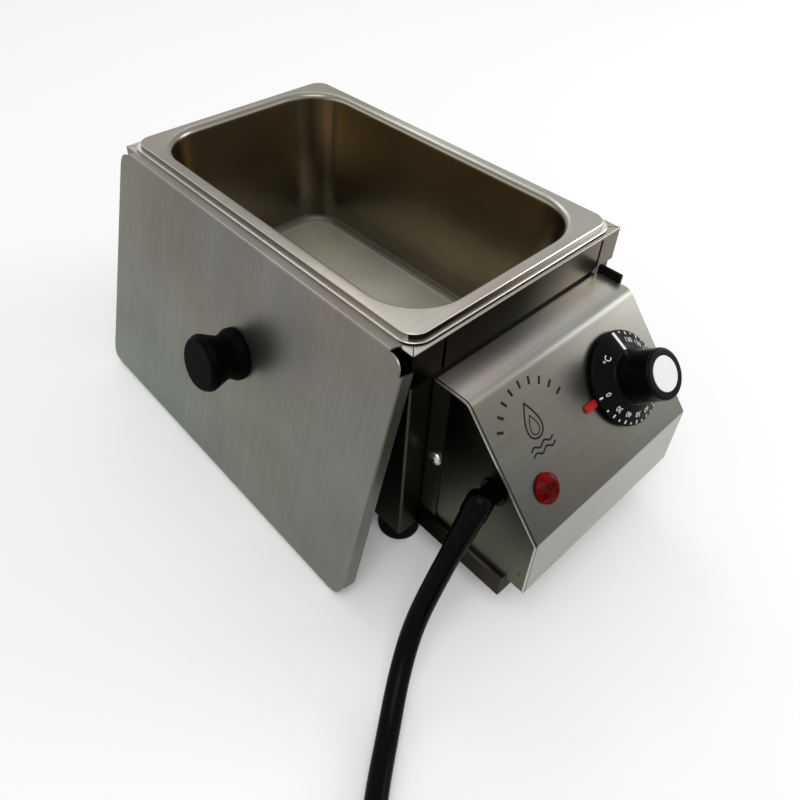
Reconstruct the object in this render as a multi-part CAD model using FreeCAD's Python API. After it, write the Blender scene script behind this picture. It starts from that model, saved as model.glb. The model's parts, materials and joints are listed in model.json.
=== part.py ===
"""Tabletop chocolate melter: a gastronorm pan in a folded steel casing, with a
thermostat box on its front end and its lid leaning on its left side.

Millimetres. +Z is up, -Y is the control end, and the origin lies on the table
under the middle of the casing.
"""
import FreeCAD
import Part
import math
import os

V = FreeCAD.Vector

# Food pan, gastronorm size 1/4 and 100 mm deep
pan_width = 162.0           # along X
pan_length = 265.0          # along Y
pan_depth = 100.0
pan_sheet = 0.8
pan_corner = 12.0           # outer corner of the rim
rim_plateau = 6.5           # raised inner band of the rim
rim_ledge = 5.0             # lower outer band
rim_step = 0.6
rim_lip = 1.0               # height of the turned-down outer edge
plateau_corner = 16.0
well_corner = 32.0          # vertical corner radius at the mouth
well_taper = 5.0            # degrees
well_fillet = 13.0          # radius between wall and floor
well_flare = 4.0            # radius between rim and wall
seat_gap = 0.3              # between parts that lift apart

# Casing
side_margin = 2.0           # the top cap beyond the pan's rim, along each side
end_margin = 2.5            # and at each end
foot_height = 16.0
sheet = 1.0                 # every folded stainless sheet
fit_gap = 0.2               # between sheets that slide into each other
bend = 1.5                  # outside radius of a fold
skirt_height = 21.0         # the cap's side skirt
cap_edge = 0.8              # radius of the cap's edges
tab_near = 20.5             # skirt tab that wraps round the front left corner
tab_far = 16.0              # and the one at the front right corner
tab_gap = 2.2
mitre_width = 0.4
mitre_depth = 0.5
mitre_reach = 20.0
base_lip = 10.0             # the bottom plate's upturned edge
vent_rows = 2
vent_count = 7
vent_pitch = 26.0
vent_row_x = 34.0
vent_half_length = 11.0
vent_half_width = 2.2

# Inner tank and what heats it
tank_clearance = 4.5        # round the pan's mouth
tank_sheet = 0.8
tank_flange = 4.0
tank_corner = 30.0
tank_floor_bend = 6.0
air_gap = 16.0              # between the pan and the tank's floor
floor_room = 25.3           # from the tank down to the casing's bottom
heater_radius = 3.25
heater_legs = 4
heater_margin = 20.8        # from the tank's side to the outer legs
heater_end_margin = 30.0    # from the tank's end to the turns
heater_clearance = 0.1
heater_collar = 1.2         # how far the end collars stand out of the sheath
heater_pin = 1.5
heater_end_gap = 0.7        # each side of the end collars
heater_hole = 4.0
strap_width = 12.0
strap_foot = 9.0
strap_setback = 69.5        # from the tank's end to each strap's middle
blanket_clearance = 0.6     # under the straps
blanket_margin = 22.0
blanket_corner = 6.0
bulb_radius = 3.0           # the thermostat's sensing bulb
bulb_length = 80.0
bulb_setback = 76.0         # from the tank's front end
bulb_hole = 5.0
capillary_radius = 1.0

# Control box, as its outline seen from the left
box_half_width = 67.5
box_gap = 1.0               # between the cap's front and the box
box_top_drop = 23.2         # from the cap's top down to the box's top facet
box_top_depth = 21.5
box_slope_run = 51.5
box_slope_drop = 58.1
box_front_height = 40.7
cover_top_bend = 8.0        # outside radius between the top facet and the panel
cover_front_bend = 3.0      # and between the panel and the front
cheek_recess = 2.0          # side plates inside the cover's edges
cheek_flange = 8.0
cheek_below = 3.0           # how far the side plates reach below the cover
neck_flange = 12.0          # the mounting frame's side flanges
frame_screw_inset = 16.0    # from the side plates' outer faces
frame_screw_margin = 14.0   # from the frame's top and bottom
channel_overhang = 1.0      # the channel beyond the cover's edges
channel_reach = 60.5        # from the cap's front to the channel's front wall
channel_flange = 10.0
trim_length = 14.5          # rubber edging on the top facet's right end
trim_rise = 5.0             # above the facet
trim_grip = 0.6             # how far it reaches over and under the sheet
trim_wall = 1.8
trim_lip = 1.2

# Thermostat dial; u runs along X on the sloping panel, v down the panel
dial_edge = 35.5            # from the cover's right edge to the dial's axis
dial_v = 37.7
dial_radius = 26.0
dial_base = 2.05            # gap between the panel and the skirt
dial_rim = 1.3              # height of the skirt's outer edge
dial_skirt = 6.8
dial_hollow = 11.0          # radius of the hollow under the skirt
dial_web = 2.2              # height of that hollow
grip_radius_foot = 14.5
grip_radius_end = 13.6
dial_height = 28.05
cap_disc_radius = 9.4
cap_disc_depth = 1.2
shaft_radius = 3.0
shaft_fit = 0.05
bush_radius = 5.0
shaft_reach = 20.0          # out of the panel
shaft_depth = 18.0          # into the thermostat
shaft_flat = 2.2            # from the axis to the flat
flat_start = 4.0
pointer_length = 9.5
pointer_width = 4.2
pointer_height = 1.5
pointer_tuck = 1.1          # how far its end reaches under the skirt
pointer_drop = 1.55         # below the dial's axis
switch_screw_spread = 14.0  # from the axis to each screw
switch_screw = 1.75
switch_screw_head = 3.7
switch_screw_sink = 1.95
switch_screw_length = 6.0
switch_depth = 25.0
switch_half_u = 17.0
switch_half_v = 15.0
switch_plate = 1.2
switch_plate_half_u = 19.0
switch_plate_half_v = 9.0
cell_radius = 11.0          # the diaphragm cell behind the switch
cell_depth = 5.0
tab_half_width = 3.1        # tab terminals
tab_half_length = 3.6
tab_sheet = 0.8
tab_step = 5.0

# Pilot lamp on the panel
lamp_edge = 21.1            # from the cover's left edge to the lamp's axis
lamp_v = 57.6
lens_radius = 7.8
lens_height = 4.2
lens_skirt = 1.2
lens_sides = 12
lamp_barrel = 4.9
lamp_depth = 26.0
lamp_tab_reach = 7.0
lamp_tab_spread = 2.4
lamp_nut_wall = 2.6
lamp_nut_height = 3.0

# Lid and its knob; the lid leans on the left side
lid_margin = 0.5            # the lid beyond the pan's rim, along each side
lid_flange = 8.5
lid_corner = 9.0
lid_shift = -4.1            # along Y from the casing's middle
lid_lean_gap = 0.5          # from the pan's rim
lid_side_lean = 8.0         # degrees, for a lid too short to reach the cap's top
knob_along = -13.0          # along Y from the lid's middle
knob_down = 71.0            # from the lid's top edge
knob_head = 17.2
knob_head_height = 21.5     # where the head is widest
knob_foot = 15.8
knob_foot_height = 2.6
knob_waist = 12.6
knob_waist_height = 9.0
knob_height = 25.5
knob_bore = 2.6
knob_bore_depth = 14.0
knob_screw = 2.0

# Feet
foot_inset = 14.5
foot_radius = 12.5
foot_top_radius = 11.0
foot_screw = 2.0
foot_recess = 5.2           # radius of the hollow for the screw's head
foot_recess_depth = 6.0
screw_clearance = 0.2

# Supply cord and its strain relief in the left side plate
cord_radius = 5.5
relief_neck = 5.5           # radius of the elbow's neck in the left side plate
relief_collar = 7.5
relief_collar_depth = 1.5
relief_back = 3.0           # behind the side plate
relief_head = 7.0           # radius of the elbow's head
relief_reach = 6.5          # from the head's middle to its end
relief_sleeve = 20.0
relief_root = 6.5           # the sleeve's radius at the head
relief_tip = 5.9
cord_height = cord_radius + 0.1
coil_mean = 58.5
coil_turns_wide = 2
coil_turns_high = 2
coil_slack = 0.3
coil_edge = 5.0
coil_gap = 0.5              # between the coil's side and the cord's end
tie_half_width = 5.0
tie_thickness = 1.2
tie_angle = 200.0
plug_lead = 14.0            # from the coil to the plug
plug_radius = 19.0
plug_body = 34.0
plug_relief = 30.0
pin_radius = 2.4
pin_length = 19.0
pin_spacing = 19.0

# Cord route: straight out of the strain relief's sleeve, down to the table and away
cord_points = [
    (-92.0, -179.7, 66.4),
    (-106.5, -180.2, 45.7),
    (-121.3, -182.9, 26.6),
    (-138.3, -192.0, 13.4),
    (-156.9, -205.0, 6.5),
    (-177.0, -219.2, cord_height),
    (-196.0, -235.0, cord_height),
    (-213.0, -253.5, cord_height),
]

# Places worked out from the sizes above
casing_bottom = foot_height
tank_underside = casing_bottom + floor_room
tank_floor = tank_underside + tank_sheet
pan_underside = tank_floor + air_gap
pan_floor = pan_underside + pan_sheet
rim_top = pan_floor + pan_depth
ledge_top = rim_top - rim_step
rim_bottom = ledge_top - rim_lip
casing_top = rim_bottom - seat_gap
cap_half_x = pan_width / 2 + side_margin
cap_half_y = pan_length / 2 + end_margin
shell_half_x = cap_half_x - sheet - fit_gap
shell_half_y = cap_half_y - sheet - fit_gap
front_wall = -shell_half_y
mouth_half_x = pan_width / 2 - rim_plateau - rim_ledge
mouth_half_y = pan_length / 2 - rim_plateau - rim_ledge
tank_half_x = mouth_half_x + pan_sheet + tank_clearance
tank_half_y = mouth_half_y + pan_sheet + tank_clearance
tank_top = casing_top - sheet
heater_pitch = 2 * (tank_half_x - heater_margin) / (heater_legs - 1)
bulb_x = (heater_legs - 2) / 2 * heater_pitch
bulb_z = tank_underside - bulb_radius - fit_gap
heater_z = tank_underside - heater_radius - heater_clearance
box_rear = -cap_half_y - box_gap
box_top = casing_top - box_top_drop
panel_top_y = box_rear - box_top_depth
panel_bottom_y = panel_top_y - box_slope_run
panel_bottom_z = box_top - box_slope_drop
cover_bottom = panel_bottom_z - box_front_height
cheek_bottom = cover_bottom - cheek_below
cheek_outer = box_half_width - cheek_recess
dial_u = box_half_width - dial_edge
lamp_u = lamp_edge - box_half_width
lid_width = pan_width + 2 * lid_margin
lid_length = pan_length
channel_front = -cap_half_y - channel_reach
slope = math.atan2(box_slope_drop, box_slope_run)
panel_down = V(0, -math.cos(slope), -math.sin(slope))
panel_out = V(0, -math.sin(slope), math.cos(slope))


def rounded_edges(points, radii, closed):
    """Straight edges between the points, with a tangent arc at each point that has a radius."""
    count = len(points)
    starts, ends, arcs = list(points), list(points), [None] * count
    for i in range(count):
        if radii[i] <= 0 or (not closed and i in (0, count - 1)):
            continue
        here = points[i]
        back = (points[i - 1] - here).normalize()
        ahead = (points[(i + 1) % count] - here).normalize()
        half = back.getAngle(ahead) / 2
        reach = radii[i] / math.tan(half)
        middle = (back + ahead).normalize() * (radii[i] / math.sin(half) - radii[i])
        ends[i] = here + back * reach
        starts[i] = here + ahead * reach
        arcs[i] = Part.Arc(ends[i], here + middle, starts[i]).toShape()
    edges = []
    for i in range(count):
        if arcs[i]:
            edges.append(arcs[i])
        after = (i + 1) % count
        if not closed and i == count - 1:
            break
        if (ends[after] - starts[i]).Length > 1e-6:
            edges.append(Part.LineSegment(starts[i], ends[after]).toShape())
    return edges


def outline(points, radii=None):
    """A flat face inside a closed polygon, its corners rounded by the radii."""
    points = [V(*p) for p in points]
    if radii is None:
        radii = [0.0] * len(points)
    elif not isinstance(radii, list):
        radii = [radii] * len(points)
    return Part.Face(Part.Wire(rounded_edges(points, radii, True)))


def rectangle(half_x, half_y, radius, z, x=0.0, y=0.0):
    corners = [(x - half_x, y - half_y, z), (x + half_x, y - half_y, z),
               (x + half_x, y + half_y, z), (x - half_x, y + half_y, z)]
    return outline(corners, radius)


def slab(half_x, half_y, radius, z_low, z_high, x=0.0, y=0.0):
    return rectangle(half_x, half_y, radius, z_low, x, y).extrude(V(0, 0, z_high - z_low))


def block(low, high):
    size = [b - a for a, b in zip(low, high)]
    return Part.makeBox(size[0], size[1], size[2], V(*low))


def inset_line(points, offset):
    """The open polygon moved sideways by the offset, to the left of its direction, in 2D."""
    moved = []
    for i, (px, py) in enumerate(points):
        normals = []
        for a, b in ((i - 1, i), (i, i + 1)):
            if a < 0 or b >= len(points):
                continue
            dx, dy = points[b][0] - points[a][0], points[b][1] - points[a][1]
            length = math.hypot(dx, dy)
            normals.append((-dy / length, dx / length))
        if len(normals) == 1:
            nx, ny = normals[0]
            scale = 1.0
        else:
            nx = normals[0][0] + normals[1][0]
            ny = normals[0][1] + normals[1][1]
            scale = 2.0 / (nx * nx + ny * ny)
        moved.append((px + nx * scale * offset, py + ny * scale * offset))
    return moved


def folded(points, place, thickness=sheet, bends=None):
    """The section of a folded sheet: its outer line, and the same line one thickness to the left.

    The bends are the outside radii of its folds, in order.
    """
    inner = inset_line(points, thickness)
    bends = bends or [bend] * (len(points) - 2)
    given, offset = [0.0], [0.0]
    for radius, (ax, ay), (bx, by), (cx, cy) in zip(bends, points, points[1:], points[2:]):
        tight = max(radius - thickness, 0.2)
        left_turn = (bx - ax) * (cy - by) > (by - ay) * (cx - bx)
        given.append(radius if left_turn else tight)
        offset.append(tight if left_turn else radius)
    ring = [place(*p) for p in points] + [place(*p) for p in reversed(inner)]
    return outline(ring, given + [0.0, 0.0] + offset[:0:-1] + [0.0])


def at_x(x):
    return lambda y, z: (x, y, z)


def at_y(y):
    return lambda x, z: (x, y, z)


def at_z(z):
    return lambda x, y: (x, y, z)


def revolved(profile, base=V(0, 0, 0), axis=V(0, 0, 1)):
    """A solid turned from (radius, height, corner radius) points about the axis at the base."""
    points = [(p[0], 0.0, p[1]) for p in profile]
    radii = [p[2] if len(p) > 2 else 0.0 for p in profile]
    solid = outline(points, radii).revolve(V(0, 0, 0), V(0, 0, 1), 360)
    turn = FreeCAD.Rotation(V(0, 0, 1), axis)
    solid.Placement = FreeCAD.Placement(base, turn)
    return solid


def tube(points, radius, bends):
    """A round bar along straight runs joined by tangent arcs."""
    points = [V(*p) for p in points]
    edges = rounded_edges(points, bends, False)
    path = Part.Wire(edges)
    start = (points[1] - points[0]).normalize()
    ring = Part.Wire(Part.makeCircle(radius, points[0], start))
    solid = path.makePipeShell([ring], True, False)
    section = math.pi * radius * radius
    if abs(solid.Volume / (section * path.Length) - 1) > 0.002:
        raise ValueError("the tube's volume differs from its section times its length")
    return solid, path.Length


def cylinder(radius, height, base, axis):
    return Part.makeCylinder(radius, height, base, axis)


def fused(solids):
    shape = solids[0].multiFuse(solids[1:]) if len(solids) > 1 else solids[0]
    return shape.removeSplitter()


def on_panel(u, v, out=0.0):
    """A point of the sloping panel: u along X, v down the slope, out from its outer face."""
    return V(u, panel_top_y, box_top) + panel_down * v + panel_out * out


def top_cap():
    box = block((-cap_half_x, -cap_half_y, casing_top - skirt_height), (cap_half_x, cap_half_y, casing_top))
    soft = [e for e in box.Edges if e.CenterOfMass.z > casing_top - skirt_height + 0.1]
    cap = box.makeFillet(cap_edge, soft)
    hollow = block((-cap_half_x + sheet, -cap_half_y + sheet, casing_top - skirt_height - 1),
                   (cap_half_x - sheet, cap_half_y - sheet, casing_top - sheet))
    mouth = slab(tank_half_x - tank_sheet, tank_half_y - tank_sheet, tank_corner,
                 casing_top - 2 * sheet, casing_top + 1)
    cuts = [hollow, mouth]
    slit_top = casing_top - sheet - 0.4
    for edge_y, left, right in ((-cap_half_y, tab_near, tab_far), (cap_half_y, tab_far, tab_far)):
        for x in (-cap_half_x + left, cap_half_x - right - tab_gap):
            cuts.append(block((x, edge_y - sheet * 2, casing_top - skirt_height - 1),
                              (x + tab_gap, edge_y + sheet * 2, slit_top)))
    for sx in (-1, 1):
        for sy in (-1, 1):
            groove = block((-mitre_reach, -mitre_width / 2, -mitre_depth), (mitre_reach, mitre_width / 2, 1))
            groove.rotate(V(0, 0, 0), V(0, 0, 1), 45 * sx * sy)
            groove.translate(V(sx * cap_half_x, sy * cap_half_y, casing_top))
            cuts.append(groove)
    return cap.cut(cuts)


def casing_shell():
    top = casing_top - sheet
    outer = slab(shell_half_x, shell_half_y, bend, casing_bottom, top)
    inner = slab(shell_half_x - sheet, shell_half_y - sheet, bend - sheet, casing_bottom - 1, top + 1)
    shell = outer.cut(inner)
    return shell.cut(wall_holes(front_wall - 1, 3 * sheet))


def wall_holes(start_y, depth):
    """Where the heater's pins, the capillary and the frame's screws pass the front wall."""
    places = [(x, heater_z, heater_hole) for x in (heater_leg_x(0), heater_leg_x(heater_legs - 1))]
    places.append((bulb_x, bulb_z, bulb_hole))
    places += [(x, z, foot_screw + 0.1) for x, z in frame_screw_places()]
    return [cylinder(radius, depth, V(x, start_y, z), V(0, 1, 0)) for x, z, radius in places]


def heater_leg_x(leg):
    return (leg - (heater_legs - 1) / 2) * heater_pitch


def frame_screw_places():
    low, high = cheek_bottom + frame_screw_margin, box_top - frame_screw_margin
    inset = cheek_outer - frame_screw_inset
    return [(sx * inset, z) for sx in (-1, 1) for z in (low, high)]


def base_plate():
    """Bottom plate with an upturned lip, two rows of vent slots and the feet's screw holes."""
    half_x = shell_half_x - sheet
    half_y = shell_half_y - sheet
    top = casing_bottom + base_lip
    outer = slab(half_x, half_y, bend - sheet, casing_bottom, top)
    inner = slab(half_x - sheet, half_y - sheet, bend - sheet, casing_bottom + sheet, top + 1)
    plate = outer.cut(inner)
    cuts = []
    for row in range(vent_rows):
        x = (2 * row - vent_rows + 1) * vent_row_x
        for i in range(vent_count):
            y = (i - (vent_count - 1) / 2) * vent_pitch
            cuts.append(slab(vent_half_length, vent_half_width, vent_half_width - 0.01,
                             casing_bottom - 1, casing_bottom + 2 * sheet, x, y))
    for x, y in foot_places():
        cuts.append(cylinder(foot_screw + screw_clearance, 4 * sheet, V(x, y, casing_bottom - 1), V(0, 0, 1)))
    return plate.cut(cuts)


def foot_places():
    x = cap_half_x - foot_inset
    y = cap_half_y - foot_inset
    return [(-x, -y), (x, -y), (-x, y), (x, y)]


def rubber_foot(x, y):
    """Tapered foot with a hole for its screw and a hollow for the screw's head."""
    bore = foot_screw + screw_clearance
    profile = [(bore, foot_height), (bore, foot_recess_depth), (foot_recess, foot_recess_depth),
               (foot_recess, 0.0), (foot_radius, 0.0, 2.5), (foot_radius, 4.0, 3.0),
               (foot_top_radius, foot_height, 0.8)]
    return revolved(profile, V(x, y, 0))


def hexagon_nut(place, across, height):
    """A nut across its corners, standing on the place."""
    ring = [place + V(math.cos(k * math.pi / 3), math.sin(k * math.pi / 3), 0) * across for k in range(7)]
    return Part.Face(Part.makePolygon(ring)).extrude(V(0, 0, height))


def foot_screws():
    """A domed screw up through each foot and the bottom plate, with its nut."""
    top = casing_bottom + sheet
    head_top = foot_recess_depth
    head_low = head_top - 3.4
    screws = []
    for x, y in foot_places():
        head = [(0, head_top), (0, head_low), (3.2, head_low, 1.4), (4.4, head_top)]
        shank = cylinder(foot_screw, top + 5.0 - head_top, V(x, y, head_top), V(0, 0, 1))
        screws.append(fused([revolved(head, V(x, y, 0)), shank, hexagon_nut(V(x, y, top), 4.0, 3.2)]))
    return Part.makeCompound(screws)


def inner_tank():
    outer = slab(tank_half_x, tank_half_y, tank_corner + tank_sheet, tank_underside, tank_top)
    low_edges = [e for e in outer.Edges if abs(e.CenterOfMass.z - tank_underside) < 1e-6]
    outer = outer.makeFillet(tank_floor_bend, low_edges)
    inner = slab(tank_half_x - tank_sheet, tank_half_y - tank_sheet, tank_corner, tank_floor, tank_top + 1)
    low_edges = [e for e in inner.Edges if abs(e.CenterOfMass.z - tank_floor) < 1e-6]
    inner = inner.makeFillet(tank_floor_bend - tank_sheet, low_edges)
    flange = slab(tank_half_x + tank_flange, tank_half_y + tank_flange, tank_corner + tank_flange,
                  tank_top - tank_sheet, tank_top)
    return outer.fuse(flange).cut(inner).removeSplitter()


def well_section(offset):
    """Half of the well's section: radius from the corner's upright axis, and height.

    The offset moves it outwards by the sheet's thickness for the outer skin.
    """
    taper = math.tan(math.radians(well_taper))
    mouth = well_corner + offset
    foot = mouth - taper * pan_depth
    top = rim_top - offset
    floor = pan_floor - offset
    brim = mouth + well_flare + 1.0
    points = [(0.0, floor), (foot, floor), (mouth, top), (brim, top), (brim, rim_top + 1.0), (0.0, rim_top + 1.0)]
    radii = [0.0, well_fillet + offset, well_flare - offset, 0.0, 0.0, 0.0]
    return points, radii


def well(offset, z_cut):
    """The well as a solid: four turned corners, four straight sides and the middle."""
    axis_x = mouth_half_x - well_corner
    axis_y = mouth_half_y - well_corner
    points, radii = well_section(offset)
    pieces = []
    for sx in (-1, 1):
        for sy in (-1, 1):
            corner = outline([(sx * p[0], 0.0, p[1]) for p in points], radii)
            corner = corner.revolve(V(0, 0, 0), V(0, 0, 1), 90 * sx * sy)
            corner.translate(V(sx * axis_x, sy * axis_y, 0))
            pieces.append(corner)
        side = outline([(sx * p[0], 0.0, p[1]) for p in points], radii)
        side.translate(V(sx * axis_x, -axis_y, 0))
        pieces.append(side.extrude(V(0, 2 * axis_y, 0)))
        end = outline([(0.0, sx * p[0], p[1]) for p in points], radii)
        end.translate(V(-axis_x, sx * axis_y, 0))
        pieces.append(end.extrude(V(2 * axis_x, 0, 0)))
    pieces.append(block((-axis_x, -axis_y, pan_floor - offset), (axis_x, axis_y, rim_top + 1.0)))
    solid = fused(pieces)
    keep = block((-pan_width, -pan_length, pan_floor - 2 * offset), (pan_width, pan_length, z_cut))
    return solid.common(keep)


def food_pan():
    """Pressed pan: stepped stacking rim, flared mouth, tapered well and deep floor radius."""
    half_x = pan_width / 2
    half_y = pan_length / 2
    ledge = slab(half_x, half_y, pan_corner, rim_bottom, ledge_top)
    top_edges = [e for e in ledge.Edges if abs(e.CenterOfMass.z - ledge_top) < 1e-6]
    ledge = ledge.makeFillet(0.8 * rim_lip, top_edges)
    under = slab(half_x - pan_sheet, half_y - pan_sheet, pan_corner - pan_sheet,
                 rim_bottom - 1, ledge_top - pan_sheet)
    step_x = half_x - rim_ledge
    step_y = half_y - rim_ledge
    plateau = slab(step_x, step_y, plateau_corner, rim_bottom, rim_top)
    top_edges = [e for e in plateau.Edges if abs(e.CenterOfMass.z - rim_top) < 1e-6]
    plateau = plateau.makeFillet(0.9 * rim_step, top_edges)
    hollow = slab(step_x - pan_sheet, step_y - pan_sheet, plateau_corner - pan_sheet,
                  rim_bottom - 1, rim_top - pan_sheet)
    rim = ledge.cut(under).fuse(plateau).cut(hollow)
    skin = well(pan_sheet, rim_top - pan_sheet)
    return rim.fuse(skin).cut(well(0.0, rim_top + 1.0)).removeSplitter()


def heater_route():
    """The element's middle line: straight legs joined by turns at alternate ends."""
    near = -tank_half_y + heater_end_margin - heater_radius
    far = tank_half_y - heater_end_margin
    points = [(heater_leg_x(0), heater_end_y(), heater_z)]
    for leg in range(heater_legs - 1):
        y = far if leg % 2 == 0 else near
        points.append((heater_leg_x(leg), y, heater_z))
        points.append((heater_leg_x(leg + 1), y, heater_z))
    points.append((heater_leg_x(heater_legs - 1), heater_end_y(), heater_z))
    return points


def heater_end_y():
    return -tank_half_y - heater_end_gap


def heating_element():
    """Sheathed element whose pins pass through the front wall into the control box."""
    points = heater_route()
    turn = heater_pitch / 2 - 0.5
    element, _ = tube(points, heater_radius, [turn] * len(points))
    wall = front_wall + sheet
    solids = [element]
    for point in (points[0], points[-1]):
        end = V(*point)
        collar_end = wall + heater_end_gap
        pin_end = front_wall - 2 * sheet - 6.0
        solids.append(cylinder(heater_radius + heater_collar, end.y - collar_end, end, V(0, -1, 0)))
        solids.append(cylinder(heater_pin, end.y - pin_end, end, V(0, -1, 0)))
    return fused(solids)


def strap_depth():
    """How far the straps reach down from the tank."""
    return 2 * heater_radius + 2 * heater_clearance + sheet


def heater_straps():
    """Two folded straps, spot welded under the tank, that hold the element's legs."""
    low = tank_underside - strap_depth()
    strap_bend = 1.3
    inner = heater_leg_x(heater_legs - 1) + heater_radius + sheet + strap_bend
    reach = inner + strap_foot
    line = [(-reach, tank_underside - sheet), (-inner, tank_underside - sheet), (-inner, low),
            (inner, low), (inner, tank_underside - sheet), (reach, tank_underside - sheet)]
    straps = []
    for side in (-1, 1):
        y = side * (tank_half_y - strap_setback)
        section = folded(line, at_y(y - strap_width / 2), sheet, [strap_bend] * 4)
        straps.append(section.extrude(V(0, strap_width, 0)))
    return Part.makeCompound(straps)


def insulation_blanket():
    """Felt pad on the bottom plate, as thick as the room under the straps."""
    low = casing_bottom + sheet
    high = tank_underside - strap_depth() - blanket_clearance
    pad = slab(shell_half_x - blanket_margin, shell_half_y - blanket_margin, blanket_corner, low, high)
    return pad.makeFillet(2.0, [e for e in pad.Edges if e.CenterOfMass.z > high - 0.1])


def mounting_frame():
    """Channel bolted to the casing's front wall; its side flanges clasp the box's side plates."""
    wing = cheek_outer + sheet
    line = [(-wing, front_wall - neck_flange), (-wing, front_wall), (wing, front_wall),
            (wing, front_wall - neck_flange)]
    line.reverse()
    section = folded(line, at_z(cheek_bottom))
    frame = section.extrude(V(0, 0, box_top - sheet - seat_gap - cheek_bottom))
    cuts = wall_holes(front_wall - 2 * sheet, 3 * sheet)
    for sx in (-1, 1):
        cuts.append(neck_screw_hole(sx))
    return frame.cut(cuts)


def neck_screw_hole(side):
    start = V(side * (cheek_outer + 2 * sheet), neck_screw_y(), neck_screw_z())
    return cylinder(foot_screw + 0.1, 4 * sheet, start, V(-side, 0, 0))


def neck_screw_y():
    return front_wall - neck_flange + 4.0


def neck_screw_z():
    return (cheek_bottom + box_top) / 2 - 3.0


def pan_head_screw(place, axis, radius, length, head_radius, head_height):
    """A domed head standing on the place, with its shank going the other way."""
    profile = [(0, 0), (head_radius, 0, 0.3), (head_radius * 0.93, head_height * 0.55, head_height * 0.5),
               (head_radius * 0.35, head_height), (0, head_height)]
    head = revolved(profile, place, axis)
    shank = cylinder(radius, length, place, axis * -1)
    return fused([head, shank])


def neck_screws():
    wing = cheek_outer + sheet
    screws = []
    for sx in (-1, 1):
        place = V(sx * wing, neck_screw_y(), neck_screw_z())
        screws.append(pan_head_screw(place, V(sx, 0, 0), foot_screw, 8.0, 4.2, 2.6))
    return Part.makeCompound(screws)


def frame_screws():
    screws = []
    for x, z in frame_screw_places():
        place = V(x, front_wall - sheet, z)
        screws.append(pan_head_screw(place, V(0, -1, 0), foot_screw, 6.0, 3.8, 2.4))
    return Part.makeCompound(screws)


def support_channel():
    """Open-topped channel under the box, in line with the casing's bottom."""
    top = cheek_bottom
    side = box_half_width + channel_overhang
    line = [(side - channel_flange, top), (side, top), (side, casing_bottom), (-side, casing_bottom),
            (-side, top), (-side + channel_flange, top)]
    line.reverse()
    section = folded(line, at_y(channel_front))
    body = section.extrude(V(0, front_wall - channel_front, 0))
    front = block((-side + sheet, channel_front, casing_bottom + sheet),
                  (side - sheet, channel_front + sheet, top - sheet))
    return fused([body, front])


def cover_line(offset=0.0):
    """The box's outline from its rear top edge to its front bottom edge, as (y, z)."""
    line = [(box_rear, box_top), (panel_top_y, box_top), (panel_bottom_y, panel_bottom_z),
            (panel_bottom_y, cover_bottom)]
    return inset_line(line, offset)


def control_cover():
    """One folded sheet: top facet, sloping panel with its holes, and front."""
    section = folded(cover_line(), at_x(-box_half_width), sheet, [cover_top_bend, cover_front_bend])
    cover = section.extrude(V(2 * box_half_width, 0, 0))
    axis = panel_out * -1
    cuts = [cylinder(bush_radius + fit_gap, 4 * sheet, on_panel(dial_u, dial_v, sheet), axis),
            cylinder(lamp_barrel + fit_gap, 4 * sheet, on_panel(lamp_u, lamp_v, sheet), axis)]
    cuts += switch_screw_sinks(fit_gap)
    return cover.cut(cuts)


def switch_screw_sinks(clearance):
    """Countersunk holes for the thermostat's screws, with a clearance round their shanks."""
    axis = panel_out * -1
    cuts = []
    for place in switch_screw_places():
        cuts.append(cylinder(switch_screw + clearance, switch_screw_length + 1.0, place, axis))
        cuts.append(Part.makeCone(switch_screw_head + fit_gap, switch_screw + fit_gap,
                                  switch_screw_sink, place, axis))
    return cuts


def cheek_outline(offset=0.0):
    """Closed outline of a side plate, as (y, z), inside the cover by its thickness and a gap."""
    line = cover_line(sheet + fit_gap + offset)
    rear = box_rear - offset
    bottom = cheek_bottom + offset
    return [(rear, line[0][1]), line[1], line[2], (line[3][0], bottom), (rear, bottom)]


def control_cheek(side):
    """Side plate with a flange folded in all round it."""
    inside = sheet + fit_gap
    radii = [0, cover_top_bend - inside, cover_front_bend - inside, bend, 0]
    plate = outline([(side * cheek_outer, y, z) for y, z in cheek_outline()], radii)
    solid = plate.extrude(V(-side * cheek_flange, 0, 0))
    radii = [0, radii[1] - sheet, radii[2] - sheet, bend - sheet, 0]
    inner = outline([(side * (cheek_outer - sheet), y, z) for y, z in cheek_outline(sheet)], radii)
    solid = solid.cut(inner.extrude(V(-side * cheek_flange, 0, 0)))
    cuts = [neck_screw_hole(side)]
    if side < 0:
        head, _ = relief_axis()
        start = V(-cheek_outer - sheet, head.y, head.z)
        cuts.append(cylinder(relief_neck + 0.1, 4 * sheet, start, V(1, 0, 0)))
    return solid.cut(cuts)


def control_floor():
    """Bottom plate of the box, lying on the side plates' lower flanges."""
    half = cheek_outer - sheet - fit_gap
    low = cheek_bottom + sheet
    inside = 2 * sheet + 2 * fit_gap
    return block((-half, panel_bottom_y + inside, low), (half, box_rear - sheet - fit_gap, low + sheet))


def edge_trim():
    """Rubber edging pushed over the right end of the box's top facet."""
    low = (box_half_width - trim_grip, box_rear - trim_length, box_top - sheet - trim_lip)
    high = (box_half_width + trim_wall, box_rear, box_top + trim_rise)
    strip = block(low, high)
    strip = strip.makeFillet(0.5, [e for e in strip.Edges if e.CenterOfMass.z > high[2] - 0.1])
    slot = block((low[0] - 1, low[1] - 1, box_top - sheet), (box_half_width, high[1] + 1, box_top))
    return strip.cut(slot)


def switch_screw_places():
    return [on_panel(dial_u + side * switch_screw_spread, dial_v) for side in (-1, 1)]


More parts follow.
